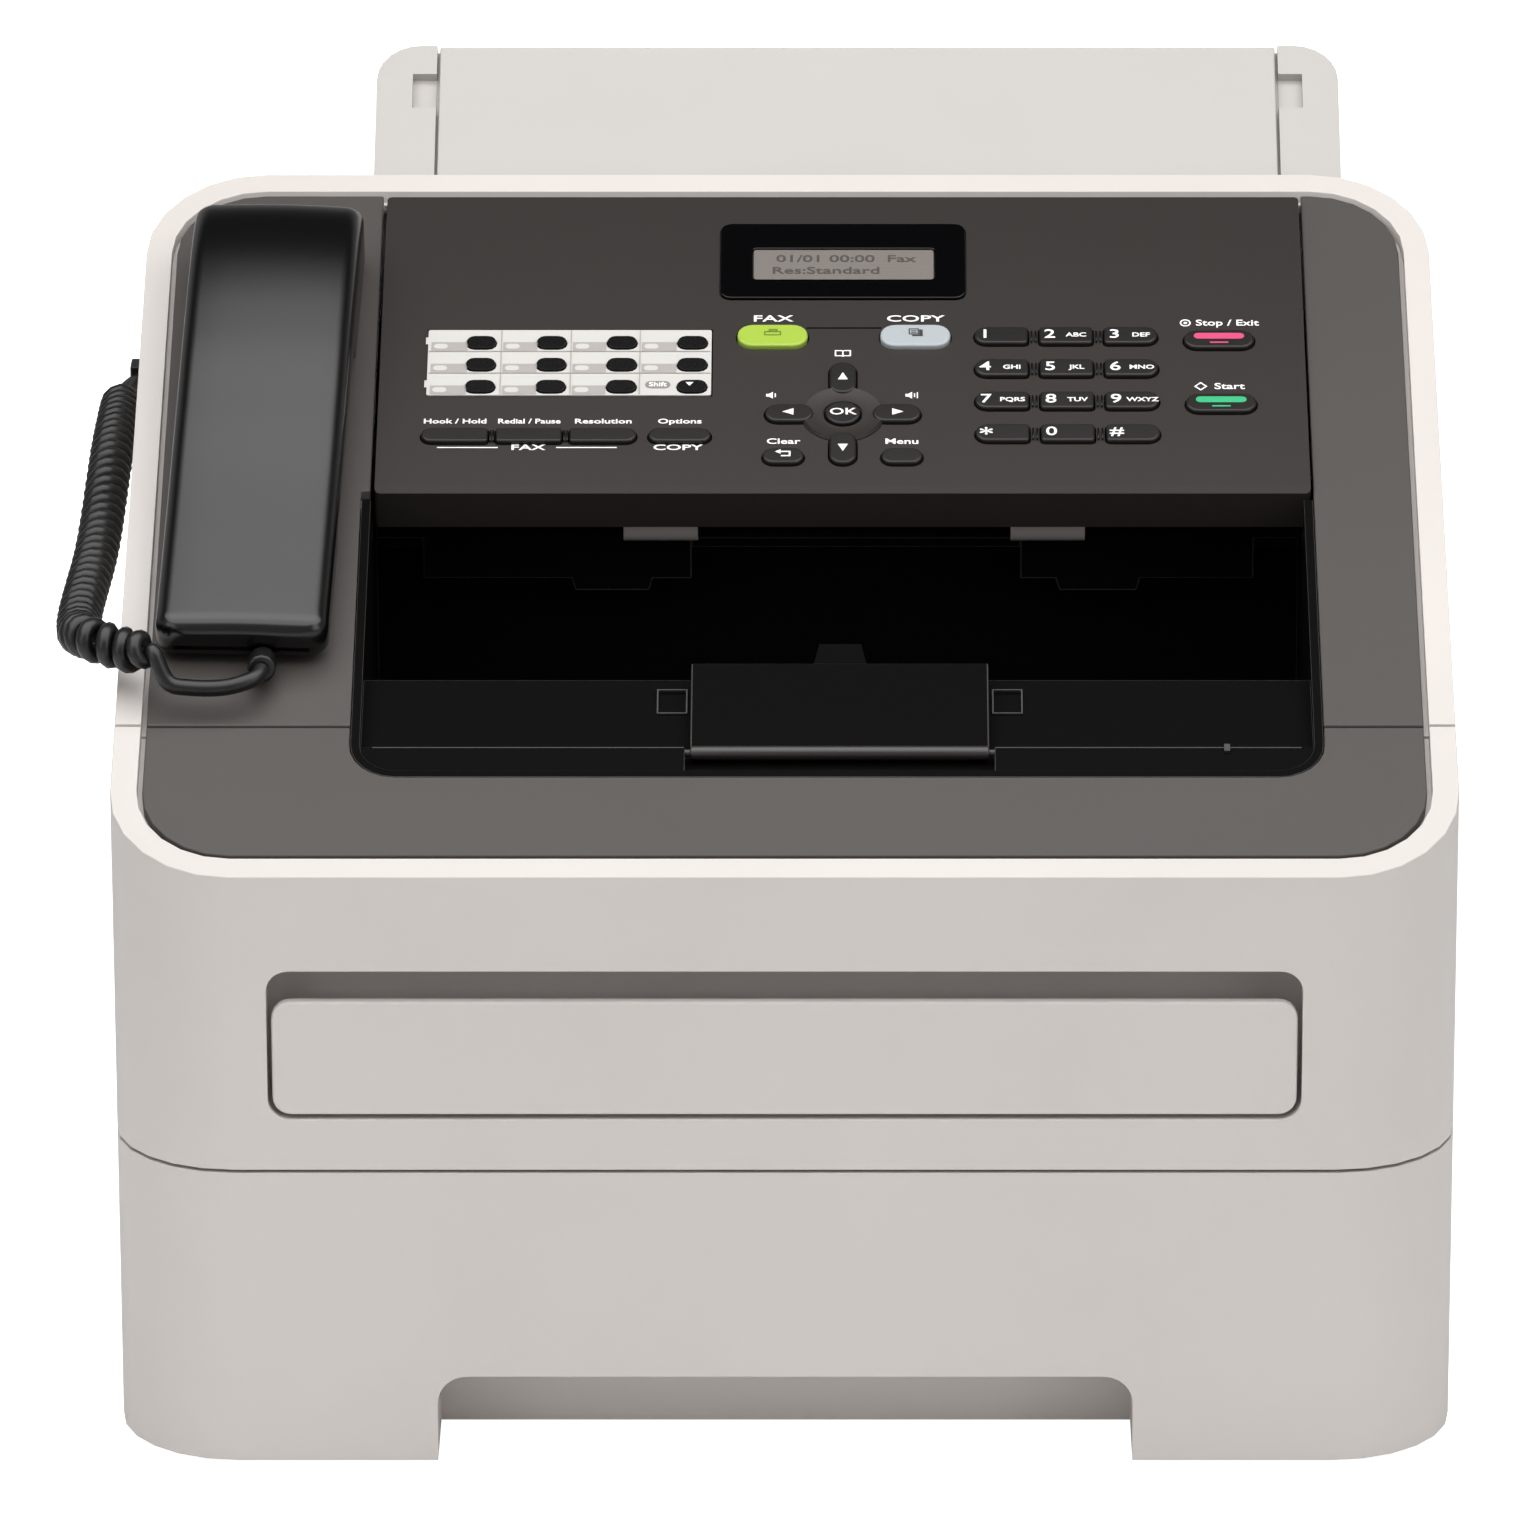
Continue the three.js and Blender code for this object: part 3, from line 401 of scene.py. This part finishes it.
# ---- housings and covers -----------------------------------------------------------------
for name in ("base_frame", "paper_cassette", "front_cover", "top_housing", "rear_cover"):
    refine(name, white_abs, 0.5)
refine("manual_feed_cover", white_abs, 0.8, segments=4)
for name in ("front_top_plate", "handset_cradle", "right_trim"):
    refine(name, charcoal_abs, 0.4)
refine("document_tray", white_abs_painted_shade, 0.6)
refine("support_flap", white_abs_painted_shade, 0.5)
# the black tray parts get lighter bevel faces: a painted highlight along their edges
for name in ("output_tray", "document_exit_guide", "output_flap"):
    refine(name, tray_abs, 0.35, join_faces=False, edge=dark_grey_abs_and_edge_highlight)
refine("toner_drum_unit", toner_abs, 1.0)
exit_roller = refine("exit_roller", roller_rubber, 0.3)
exit_roller.data.materials.append(tray_abs)
SHAFT_EDGE = 3.5 * MM
roller_low, roller_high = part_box("exit_roller")
shaft_y, shaft_z = (roller_low[1] + roller_high[1]) / 2, (roller_low[2] + roller_high[2]) / 2
for face in exit_roller.data.polygons:
    if math.hypot(face.center.y - shaft_y, face.center.z - shaft_z) < SHAFT_EDGE:
        face.material_index = 1
refine("lift_plate", plate_steel, 0.3)
for name in ("foot_front_left", "foot_front_right", "foot_back_left", "foot_back_right"):
    refine(name, foot_rubber, 0.5)
refine("control_panel", panel_abs, 0.3, segments=2)
refine("lcd_bezel", gloss_acrylic, 0.3)
give(frame["nodes"]["lcd_glass"], screen_face)
refine("label_sheet", sheet_paper, 0.0)
refine("hook_switch", key_abs, 0.4)
refine("cord_plug", key_abs, 0.6)


# ---- keys and their signs ----------------------------------------------------------------
refine("one_touch_keys", key_abs, 0.4)
KEY_NODES = sorted(n for n in frame["nodes"] if n.startswith("key_"))
for name in KEY_NODES:
    cap = {"key_fax": lime_cap, "key_copy": pale_cap}.get(name, keycap_abs)
    refine(name, cap, 0.7, segments=4)

KEY_TOP = deck_box("key_1")[1][2]
PANEL_TOP = deck_box("label_sheet")[0][2] - 0.15 * MM
DIGIT_LEFT = 4.6 * MM  # digits stand left of the key's middle
for sign, name in [(str(n), f"key_{n}") for n in range(10)] + [("*", "key_star"), ("#", "key_hash")]:
    x, v = deck_middle(name)
    drop = 1.2 * MM if sign == "*" else 0.0
    size = 7.2 if sign == "*" else 5.4
    lettering("print_" + name, sign, size, x - DIGIT_LEFT, v - drop, KEY_TOP, white_ink,
              body_of_node(name), wide=1.25)

for key, letters in zip((2, 3, 4, 5, 6, 7, 8, 9), "ABC DEF GHI JKL MNO PQRS TUV WXYZ".split()):
    x, v = deck_middle(f"key_{key}")
    lettering(f"print_letters_{key}", letters, 2.5, x + 2.9 * MM, v - 0.3 * MM, KEY_TOP, white_ink,
              body_of_node(f"key_{key}"), wide=1.2)


def raised_block(name, x, v, w, h, top, material, body):
    """A small moulded block with rounded edges, standing on the panel."""
    deselect()
    bpy.ops.mesh.primitive_cube_add(size=1)
    piece = bpy.context.object
    piece.name = name
    piece.scale = (w, h, top)
    bpy.ops.object.transform_apply(location=False, rotation=False, scale=True)
    bevel = piece.modifiers.new("edges", "BEVEL")
    bevel.width = 0.2 * MM
    bevel.segments = 2
    bpy.ops.object.modifier_apply(modifier=bevel.name)
    bpy.ops.object.shade_smooth_by_angle(angle=math.radians(40))
    settle(piece, DECK @ Matrix.Translation((x, v, PANEL_TOP + top / 2)))
    give(piece, material)
    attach(piece, body)
    return piece


def ribs_between(left, right, height_mm):
    """Two slim ribs in the gap between two neighbouring keys."""
    x0, x1 = deck_box(left)[1][0], deck_box(right)[0][0]
    v = deck_middle(left)[1]
    for i, share in enumerate((0.32, 0.68)):
        raised_block(f"rib_{left}_{i}", x0 + (x1 - x0) * share, v, 0.5 * MM, height_mm * MM,
                     0.9 * MM, key_abs, "panel")


for row in (("key_1", "key_2", "key_3"), ("key_4", "key_5", "key_6"), ("key_7", "key_8", "key_9"),
            ("key_star", "key_0", "key_hash"), ("key_hook", "key_redial", "key_resolution")):
    for left, right in zip(row, row[1:]):
        ribs_between(left, right, 4.6)


CELL_EDGES = (-81.2 * MM, -61.4 * MM, -41.8 * MM)  # lines between the columns of the label sheet
CELL_KEY = 9.6 * MM  # a cell's printed band ends this far from its right edge


def print_label_sheet():
    """Grey bands, pale number fields, cell lines and two locating tabs of the label sheet, and painted
    shade along its back and right edges.
    """
    low, high = deck_box("label_sheet")
    top = high[2] + PRINT_LIFT
    pitch = (high[1] - low[1]) / 3
    edges = [low[0] + 0.4 * MM, *CELL_EDGES, high[0] - 0.3 * MM]
    bands, fields, lines = [], [], []
    for j in range(3):
        base = low[1] + j * pitch
        for i, (start, end) in enumerate(zip(edges, edges[1:])):
            if (i, j) == (3, 0):
                continue
            bands.append(bar(start + 0.5 * MM, end - CELL_KEY, base + 0.3 * MM, base + 0.43 * pitch))
            fields.append(pill(start + 3.2 * MM, base + 0.23 * pitch, 2.0, 1.1))
        if j:
            lines.append(bar(edges[0], edges[4], base - 0.12 * MM, base + 0.12 * MM))
    lines += [bar(x - 0.15 * MM, x + 0.15 * MM, low[1] + 0.3 * MM, high[1] - 0.3 * MM)
              for x in CELL_EDGES]
    mark("sheet_bands", bands, top, stripe_ink, "panel")
    mark("sheet_fields", fields, top + 0.06 * MM, sheet_paper, "panel")
    mark("sheet_lines", lines, top + 0.12 * MM, stripe_ink, "panel")
    tabs = [bar(low[0] - 0.7 * MM, low[0], v * MM, (v + 3) * MM) for v in (226.3, 207.0)]
    mark("sheet_tabs", tabs, low[2], sheet_paper, "panel", thick_mm=0.3)
    # a flat black strip along the sheet's back and right edges: painted shade in the gap round it
    edge = [bar(low[0] - 0.3 * MM, high[0], high[1], high[1] + 0.7 * MM),
            bar(high[0], high[0] + 0.4 * MM, low[1], high[1] + 0.7 * MM)]
    mark("sheet_recess_painted_shade", edge, PANEL_TOP + PRINT_LIFT, tray_abs, "panel")


print_label_sheet()
SHIFT_X, SHIFT_V = -36.6 * MM, 207.9 * MM
SHEET_TOP = deck_box("label_sheet")[1][2]
mark("shift_field", [pill(SHIFT_X, SHIFT_V, 3.6, 1.6)], SHEET_TOP + PRINT_LIFT, shift_ink, "panel")
lettering("print_shift", "Shift", 2.6, SHIFT_X, SHIFT_V, SHEET_TOP + 0.08 * MM, white_ink, "panel",
          wide=1.1)
touch_high = deck_box("one_touch_keys")[1]
mark("arrow_one_touch", [shifted(-27.6 * MM, 207.4 * MM, [(0, -0.9), (1.1, 0.7), (-1.1, 0.7)])],
     touch_high[2] + PRINT_LIFT, white_ink, "touch_mat")


def arrow(name, key, turn, reach=1.9 * MM):
    x, v = deck_middle(key)
    points = [(reach * math.cos(turn + a), reach * math.sin(turn + a)) for a in (0, 2.3, -2.3)]
    mark(name, [[(x + px, v + pv) for px, pv in points]], KEY_TOP + PRINT_LIFT, white_ink,
         body_of_node(key))


arrow("arrow_left", "key_left", math.pi)
arrow("arrow_right", "key_right", 0)
arrow("arrow_up", "key_up", math.pi / 2)
arrow("arrow_down", "key_down", -math.pi / 2)
ok_x, ok_v = deck_middle("key_ok")
lettering("print_ok", "OK", 4.0, ok_x, ok_v, KEY_TOP, white_ink, body_of_node("key_ok"), wide=1.3)
for key, ink in (("key_stop", red_bar), ("key_start", green_bar)):
    x, v = deck_middle(key)
    mark(key + "_bar", [pill(x, v + 0.9 * MM, 7.2, 1.3)] + around(x, v, [(-2.6, 2.6, -2.3, -1.7)]),
         KEY_TOP + PRINT_LIFT, ink, body_of_node(key))


def panel_word(words, key, rise_mm, size=3.3, shift_mm=0.0, wide=1.3):
    x, v = deck_middle(key)
    lettering("print_word_" + key, words, size, x + shift_mm * MM, v + rise_mm * MM, PANEL_TOP,
              white_ink, "panel", wide=wide)


panel_word("FAX", "key_fax", 8.6, size=3.9, wide=1.6)
panel_word("COPY", "key_copy", 8.6, size=3.9, wide=1.6)
panel_word("Clear", "key_clear", 7.3)
panel_word("Menu", "key_menu", 7.3)
panel_word("Stop / Exit", "key_stop", 8.3, size=3.7, shift_mm=2.5, wide=1.15)
panel_word("Start", "key_start", 8.3, size=3.7, shift_mm=2.5, wide=1.2)
panel_word("Hook / Hold", "key_hook", 7.0, size=2.9, wide=1.2)
panel_word("Redial / Pause", "key_redial", 7.0, size=2.9, wide=1.1)
panel_word("Resolution", "key_resolution", 7.0, size=2.9)
panel_word("Options", "key_options", 7.0, size=2.9)

# signs beside the words and arrows
PANEL_PRINT = PANEL_TOP + PRINT_LIFT
fax_x, fax_v = deck_middle("key_fax")
copy_x, copy_v = deck_middle("key_copy")
# a flat black strip between the FAX and COPY keys: painted shade in the groove there
mark("mode_groove_painted_shade", [bar(fax_x + 9.6 * MM, copy_x - 9.6 * MM, fax_v + 4.2 * MM, fax_v + 4.7 * MM)],
     PANEL_PRINT, tray_abs, "panel")
mark("sign_fax", around(fax_x, fax_v + 0.9 * MM, box_line(-2.4, 2.4, -1.3, 0.5, 0.35)
     + box_line(-1.1, 1.4, 0.5, 1.5, 0.35)), KEY_TOP + PRINT_LIFT, icon_ink, body_of_node("key_fax"))
mark("sign_copy", around(copy_x, copy_v + 0.9 * MM, [
     *box_line(-1.9, 1.0, -0.9, 1.7, 0.35), (1.1, 2.1, -1.7, 1.2), (-0.9, 1.1, -1.7, -1.1),
     (-1.2, 0.3, 0.5, 0.8), (-1.2, 0.3, -0.2, 0.1)]),
     KEY_TOP + PRINT_LIFT, dark_ink, body_of_node("key_copy"))
nav_x = deck_middle("key_up")[0]
book_v = deck_middle("key_up")[1] + 12.2 * MM
mark("sign_book", around(nav_x, book_v, [
     (-2.3, -1.9, -1.5, 1.2), (-0.2, 0.2, -1.7, 1.0), (1.9, 2.3, -1.5, 1.2), (-1.9, -0.2, 0.8, 1.2),
     (0.2, 1.9, 0.8, 1.2), (-1.9, -0.2, -1.5, -1.1), (0.2, 1.9, -1.5, -1.1)]),
     PANEL_PRINT, white_ink, "panel")
SPEAKER = [(-1.9, -0.6), (-1.1, -0.6), (0, -1.5), (0, 1.5), (-1.1, 0.6), (-1.9, 0.6)]
for key, shift, waves in (("key_left", -4.6, 1), ("key_right", 4.4, 2)):
    x, v = deck_middle(key)
    x, v = x + shift * MM, v + 8.8 * MM
    mark("sign_speaker_" + key, [shifted(x, v, SPEAKER)] + around(x, v, [
         (0.5 + 0.8 * i, 0.85 + 0.8 * i, -0.8 - 0.5 * i, 0.8 + 0.5 * i) for i in range(waves)]),
         PANEL_PRINT, white_ink, "panel")
clear_x, clear_v = deck_middle("key_clear")
mark("sign_return", [shifted(clear_x, clear_v + 0.5 * MM, [(-2.3, 0.8), (-0.7, -0.2), (-0.7, 1.8)])]
     + around(clear_x, clear_v + 0.5 * MM, [
         (-0.7, 1.6, 0.55, 1.05), (1.6, 2.1, -1.3, 1.05), (-0.6, 1.6, -1.3, -0.8)]),
     KEY_TOP + PRINT_LIFT, white_ink, body_of_node("key_clear"))
stop_x, stop_v = deck_middle("key_stop")
start_x, start_v = deck_middle("key_start")
mark("sign_stop", ring_line(stop_x - 9.4 * MM, stop_v + 8.3 * MM, 1.6, 1.15, 16)
     + [pill(stop_x - 9.4 * MM, stop_v + 8.3 * MM, 0.55, 0.5)], PANEL_PRINT, white_ink, "panel")
mark("sign_start", ring_line(start_x - 5.6 * MM, start_v + 8.3 * MM, 1.9, 1.3, 4), PANEL_PRINT,
     white_ink, "panel")
BRACKET_V = 180.6 * MM
mark("function_lines", [bar(a * MM, b * MM, BRACKET_V - 0.2 * MM, BRACKET_V + 0.2 * MM)
     for a, b in ((-98.4, -81.3), (-64.9, -47.8))], PANEL_PRINT, white_ink, "panel")
for name, words, x_mm in (("fax", "FAX", -72.9), ("copy", "COPY", -30.7)):
    lettering("print_group_" + name, words, 3.3, x_mm * MM, BRACKET_V, PANEL_TOP, white_ink, "panel",
              wide=1.6)

# display text
glass_low, glass_high = deck_box("lcd_glass")
for line, words, shift in ((0, "Res:Standard", -5.1), (1, "01/01 00:00  Fax", 0.6)):
    lettering(f"display_line_{line}", words, 4.4, (glass_low[0] + glass_high[0]) / 2 + shift * MM,
              glass_low[1] + (3.9 + 5.4 * line) * MM, glass_high[2], screen_dark, "panel", wide=1.35)


# ---- raised dish round the four arrows ---------------------------------------------------
def dish(name, x, v, radius_mm):
    """A shallow round dish whose rim stands a little above the panel."""
    deselect()
    bpy.ops.mesh.primitive_circle_add(vertices=64, radius=radius_mm * MM, fill_type="NGON")
    piece = bpy.context.object
    piece.name = name
    bpy.ops.object.mode_set(mode="EDIT")
    for inset, rise in ((0.5, 0.8), (1.6, -0.36), (1.6, -0.22), (1.4, -0.1)):
        bpy.ops.mesh.inset(thickness=inset * MM)
        bpy.ops.transform.translate(value=(0, 0, rise * MM))
    bpy.ops.mesh.inset(thickness=0.8 * MM)
    bpy.ops.mesh.delete(type="FACE")
    bpy.ops.object.mode_set(mode="OBJECT")
    solidify = piece.modifiers.new("wall", "SOLIDIFY")
    solidify.thickness = 0.25 * MM
    solidify.offset = 1
    bpy.ops.object.modifier_apply(modifier=solidify.name)
    bpy.ops.object.shade_smooth_by_angle(angle=math.radians(40))
    settle(piece, DECK @ Matrix.Translation((x, v, PANEL_TOP + 0.1 * MM)))
    give(piece, panel_abs)
    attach(piece, "panel")


dish("arrow_dish", ok_x, ok_v, 11.6)


# ---- handset -----------------------------------------------------------------------------
HANDSET_SKEW = math.radians(-1.6)
HANDSET_PLACE = Matrix.Translation((-150 * MM, 88.5 * MM, 0)) @ Matrix.Rotation(HANDSET_SKEW, 4, "Z")
HANDSET_LONG = 182.0  # these handset sizes are in millimetres
HANDSET_HALF = 24.0
HANDSET_BACK = [(-8, 13.6), (0, 14.0), (30, 15.6), (60, 17.6), (90, 20.2), (120, 23.0), (148, 25.0),
                (162, 24.6), (174, 22.4), (182, 18.5), (190, 13)]
HANDSET_FACE = [(0, 2.5), (44, 2.5), (48, 7.0), (128, 8.0), (132, 1.2), (182, 1.2)]
PLAN_ROUND, BACK_ROUND, FACE_ROUND = 6.0, 4.5, 2.2
CROWN = 1.0
ARC_STEPS = 6


def round_off(distance, radius):
    """How far a quarter-round edge stands back at a distance from its end."""
    near = max(0.0, radius - distance)
    return radius - math.sqrt(radius ** 2 - near ** 2)


def straight_at(points, y):
    for (y0, z0), (y1, z1) in zip(points, points[1:]):
        if y0 <= y <= y1:
            return z0 + (z1 - z0) * (y - y0) / (y1 - y0)


def smooth_at(points, y):
    """The height of a smooth line through the points."""
    for (ya, za), (yb, zb), (yc, zc), (yd, zd) in zip(points, points[1:], points[2:], points[3:]):
        if yb <= y <= yc:
            t, span = (y - yb) / (yc - yb), yc - yb
            rise_b, rise_c = (zc - za) / (yc - ya) * span, (zd - zb) / (yd - yb) * span
            return (zb * (2 * t ** 3 - 3 * t ** 2 + 1) + rise_b * (t ** 3 - 2 * t ** 2 + t)
                    + zc * (3 * t ** 2 - 2 * t ** 3) + rise_c * (t ** 3 - t ** 2))


def handset_ring(y):
    """One cross-section of the handset, with round edges and a slightly crowned back."""
    end = min(y, HANDSET_LONG - y)
    half = HANDSET_HALF - round_off(end, PLAN_ROUND)
    top = smooth_at(HANDSET_BACK, y) - round_off(end, BACK_ROUND)
    low = straight_at(HANDSET_FACE, y) + round_off(end, FACE_ROUND)
    ring = []
    corners = ((1, BACK_ROUND), (-1, BACK_ROUND), (-1, FACE_ROUND), (1, FACE_ROUND))
    for quarter, (sx, radius) in enumerate(corners):
        middle = top - radius if quarter < 2 else low + radius
        for i in range(ARC_STEPS + 1):
            angle = math.pi / 2 * (quarter + i / ARC_STEPS)
            x = sx * (half - radius) + radius * math.cos(angle)
            drop = CROWN * (x / HANDSET_HALF) ** 2 if quarter < 2 else 0.0
            ring.append((x * MM, y * MM, (middle + radius * math.sin(angle) - drop) * MM))
        if quarter == 0:
            ring += [(x * half * MM, y * MM, (top - CROWN * x ** 2) * MM)
                     for x in (0.5, 0.25, 0, -0.25, -0.5)]
    return ring


def loft(name, rings):
    """A closed surface through rings that have the same number of points."""
    count = len(rings[0])
    faces = [(j * count + i, j * count + (i + 1) % count,
              (j + 1) * count + (i + 1) % count, (j + 1) * count + i)
             for j in range(len(rings) - 1) for i in range(count)]
    faces += [tuple(range(count)), tuple(range((len(rings) - 1) * count, len(rings) * count))]
    mesh = bpy.data.meshes.new(name)
    mesh.from_pydata([point for ring in rings for point in ring], [], faces)
    piece = bpy.data.objects.new(name, mesh)
    bpy.context.collection.objects.link(piece)
    activate(piece)
    bpy.ops.object.mode_set(mode="EDIT")
    bpy.ops.mesh.select_all(action="SELECT")
    bpy.ops.mesh.normals_make_consistent(inside=False)
    bpy.ops.object.mode_set(mode="OBJECT")
    bpy.ops.object.shade_smooth_by_angle(angle=math.radians(40))
    return piece


NEAR_END = (0.05, 0.3, 0.8, 1.5, 2.4, 3.4, 4.6, 6.0, 8.0)
stations = [*NEAR_END, *range(10, 44, 3), *range(44, 50), *range(52, 126, 4), *range(126, 134),
            *range(136, 173, 3), *(HANDSET_LONG - y for y in reversed(NEAR_END))]
handset = loft("handset_moulding", [handset_ring(y) for y in stations])
settle(handset, DECK @ HANDSET_PLACE)
give(handset, handset_abs)
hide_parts("handset")
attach(handset, "receiver")
refine("cord_boot", cord_pvc, 0.8)


# ---- small parts of the output tray ------------------------------------------------------
def deck_cylinder(name, x0, x1, v, w, radius, material, body):
    """A round bar across the machine, with softened ends."""
    deselect()
    bpy.ops.mesh.primitive_cylinder_add(vertices=32, radius=radius, depth=x1 - x0)
    piece = bpy.context.object
    piece.name = name
    bevel = piece.modifiers.new("ends", "BEVEL")
    bevel.width = 0.4 * MM
    bevel.segments = 2
    bpy.ops.object.modifier_apply(modifier=bevel.name)
    bpy.ops.object.shade_smooth_by_angle(angle=math.radians(40))
    place = Matrix.Translation(((x0 + x1) / 2, v, w)) @ Matrix.Rotation(math.pi / 2, 4, "Y")
    settle(piece, DECK @ place)
    give(piece, material)
    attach(piece, body)


flap_low, flap_high = deck_box("output_flap")
HINGE_V, HINGE_W = flap_low[1] + 1.5 * MM, (flap_low[2] + flap_high[2]) / 2
BAR_RADIUS = 2.0 * MM
PIN_RADIUS = 1.0 * MM
PIN_HALF = 2.4 * MM
deck_cylinder("flap_bar", flap_low[0] + 0.2 * MM, flap_high[0] - 0.2 * MM, HINGE_V, HINGE_W,
              BAR_RADIUS, bar_abs, "stop_flap")
for side_name, x in (("left", flap_low[0] - 1.2 * MM), ("right", flap_high[0] + 1.2 * MM)):
    deck_cylinder("flap_pin_" + side_name, x - PIN_HALF, x + PIN_HALF, HINGE_V, HINGE_W, PIN_RADIUS,
                  dark_grey_abs_and_edge_highlight, "main")
FLOOR_W = -6.1 * MM
POCKET_V = 74.4 * MM
POCKET_WIDTH = 8.4 * MM
POCKET_LENGTH = 10.2 * MM
POCKET_SIDE = 1.0 * MM  # from the flap to the pocket beside it
# the pocket outlines are thin lighter lines: a painted highlight on the rims of the pockets beside the
# flap
for side_name, x0 in (("left", flap_low[0] - POCKET_SIDE - POCKET_WIDTH),
                      ("right", flap_high[0] + POCKET_SIDE)):
    pocket_highlight_bars = [bar(x0 + a, x0 + b, POCKET_V + c, POCKET_V + d)
                  for a, b, c, d in box_line(0, POCKET_WIDTH, 0, POCKET_LENGTH, 0.4 * MM)]
    mark("flap_pocket_painted_highlight_" + side_name, pocket_highlight_bars, FLOOR_W, dark_grey_abs_and_edge_highlight, "main", thick_mm=0.5)
mark("tray_rib", [shifted(15.1 * MM, 104 * MM, [(-7.6, -5), (7.6, -5), (5.8, 5), (-5.8, 5)])],
     -12.5 * MM, tray_abs, "main", thick_mm=2.5)
LEDGE_V = 55.0 * MM  # back edge of the tray's front ledge
# a thin lighter strip along the ledge's back edge: a painted highlight
mark("tray_ledge_painted_highlight", [bar(-113 * MM, flap_low[0] - 1.8 * MM, LEDGE_V - 0.35 * MM, LEDGE_V),
                         bar(flap_high[0] + 1.8 * MM, 141.5 * MM, LEDGE_V - 0.35 * MM, LEDGE_V)],
     -1.2 * MM, dark_grey_abs_and_edge_highlight, "main", thick_mm=0.15)
mark("tray_stub", around(121.1 * MM, 54.2 * MM, [(-0.8, 0.8, -1.4, 1.4)]), -2.0 * MM, dark_grey_abs_and_edge_highlight, "main",
     thick_mm=1.6)


# ---- curly cord --------------------------------------------------------------------------
WIRE = 4.6 * MM
COIL_OUTER = 12.7 * MM
COIL_PITCH = 5.2 * MM
TURN_STEPS = 14


def deck_point(x, v, w):
    return DECK @ Vector((x * MM, v * MM, w * MM))


def from_front(x, y, z):
    return Vector((x * MM, FRONT + y * MM, z * MM))


HALF = 184  # half the width of the body, in millimetres
handset_end = deck_point(-149, 88.5, 6.5)
lead_route = [handset_end + Vector(step) * MM for step in (
    (5, -9.2, -3.4), (3, -13.5, -4.5), (-5, -16.3, -6), (-15, -16.3, -6), (-20.5, -15.6, -4.6))]
coil_route = [
    handset_end + Vector((-24.3, -13.4, 3)) * MM,
    from_front(-HALF + 4, 72, 212), from_front(-HALF - 8, 80, 213), from_front(-HALF - 12, 104, 209),
    from_front(-HALF - 10, 162, 211), from_front(-HALF - 9, 217, 219), from_front(-HALF - 8.5, 266, 219)]
tail_route = [from_front(-HALF - 7.5, 276, 219), from_front(-HALF - 5, 285.4, 218)]


def curve_through(points, steps):
    """Points evenly along a smooth curve through the given ones."""
    ends = [points[0] * 2 - points[1], *points, points[-1] * 2 - points[-2]]
    fine = []
    for a, b, c, d in zip(ends, ends[1:], ends[2:], ends[3:]):
        for i in range(60):
            t = i / 60
            fine.append(0.5 * (2 * b + (c - a) * t + (2 * a - 5 * b + 4 * c - d) * t * t
                               + (3 * b - a - 3 * c + d) * t ** 3))
    fine.append(points[-1])
    lengths = [0.0]
    for a, b in zip(fine, fine[1:]):
        lengths.append(lengths[-1] + (b - a).length)
    made, j = [], 0
    for i in range(steps + 1):
        want = lengths[-1] * i / steps
        while j < len(lengths) - 2 and lengths[j + 1] < want:
            j += 1
        span = lengths[j + 1] - lengths[j] or 1
        made.append(fine[j].lerp(fine[j + 1], (want - lengths[j]) / span))
    return made


def route_length(points):
    return sum((b - a).length for a, b in zip(points, points[1:]))


def coil_round(axis_points, radius, pitch):
    """Turns of wire round an axis, from frames carried along it without twist."""
    turns = max(3, round(route_length(axis_points) / pitch))
    axis = curve_through(axis_points, turns * TURN_STEPS)
    side = Vector((0, 0, 1))
    made = []
    for i, point in enumerate(axis):
        ahead = (axis[min(i + 1, len(axis) - 1)] - axis[max(i - 1, 0)]).normalized()
        side = (side - ahead * side.dot(ahead)).normalized()
        across = ahead.cross(side)
        angle = 2 * math.pi * i / TURN_STEPS
        grow = min(1, i / TURN_STEPS, (len(axis) - 1 - i) / TURN_STEPS)
        made.append(point + (side * math.cos(angle) + across * math.sin(angle)) * radius * grow)
    return made


def wire_tube(name, points, radius, sides=10):
    """A closed tube of round section along the points."""
    mesh = bpy.data.meshes.new(name)
    rings, faces, side = [], [], Vector((0, 0, 1))
    for i, point in enumerate(points):
        ahead = (points[min(i + 1, len(points) - 1)] - points[max(i - 1, 0)]).normalized()
        if abs(side.dot(ahead)) > 0.98:
            side = Vector((0, 1, 0))
        side = (side - ahead * side.dot(ahead)).normalized()
        across = ahead.cross(side)
        for k in range(sides):
            a = 2 * math.pi * k / sides
            rings.append(point + (side * math.cos(a) + across * math.sin(a)) * radius)
    for i in range(len(points) - 1):
        for k in range(sides):
            a, b = i * sides + k, i * sides + (k + 1) % sides
            faces.append((a, b, b + sides, a + sides))
    faces.append(tuple(reversed(range(sides))))
    faces.append(tuple(range((len(points) - 1) * sides, len(points) * sides)))
    mesh.from_pydata(rings, [], faces)
    piece = bpy.data.objects.new(name, mesh)
    bpy.context.collection.objects.link(piece)
    activate(piece)
    bpy.ops.object.shade_smooth_by_angle(angle=math.radians(50))
    return piece


coil_points = coil_round(coil_route, (COIL_OUTER - WIRE) / 2, COIL_PITCH)
cord_points = curve_through([*lead_route, coil_points[0]], 24) + coil_points[1:]
cord_points += curve_through([coil_points[-1], *tail_route], 12)[1:]
handset_cord = wire_tube("handset_cord", cord_points, WIRE / 2)
give(handset_cord, cord_pvc)
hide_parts("cord_lead", "cord_coil", "cord_tail")
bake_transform(handset_cord)
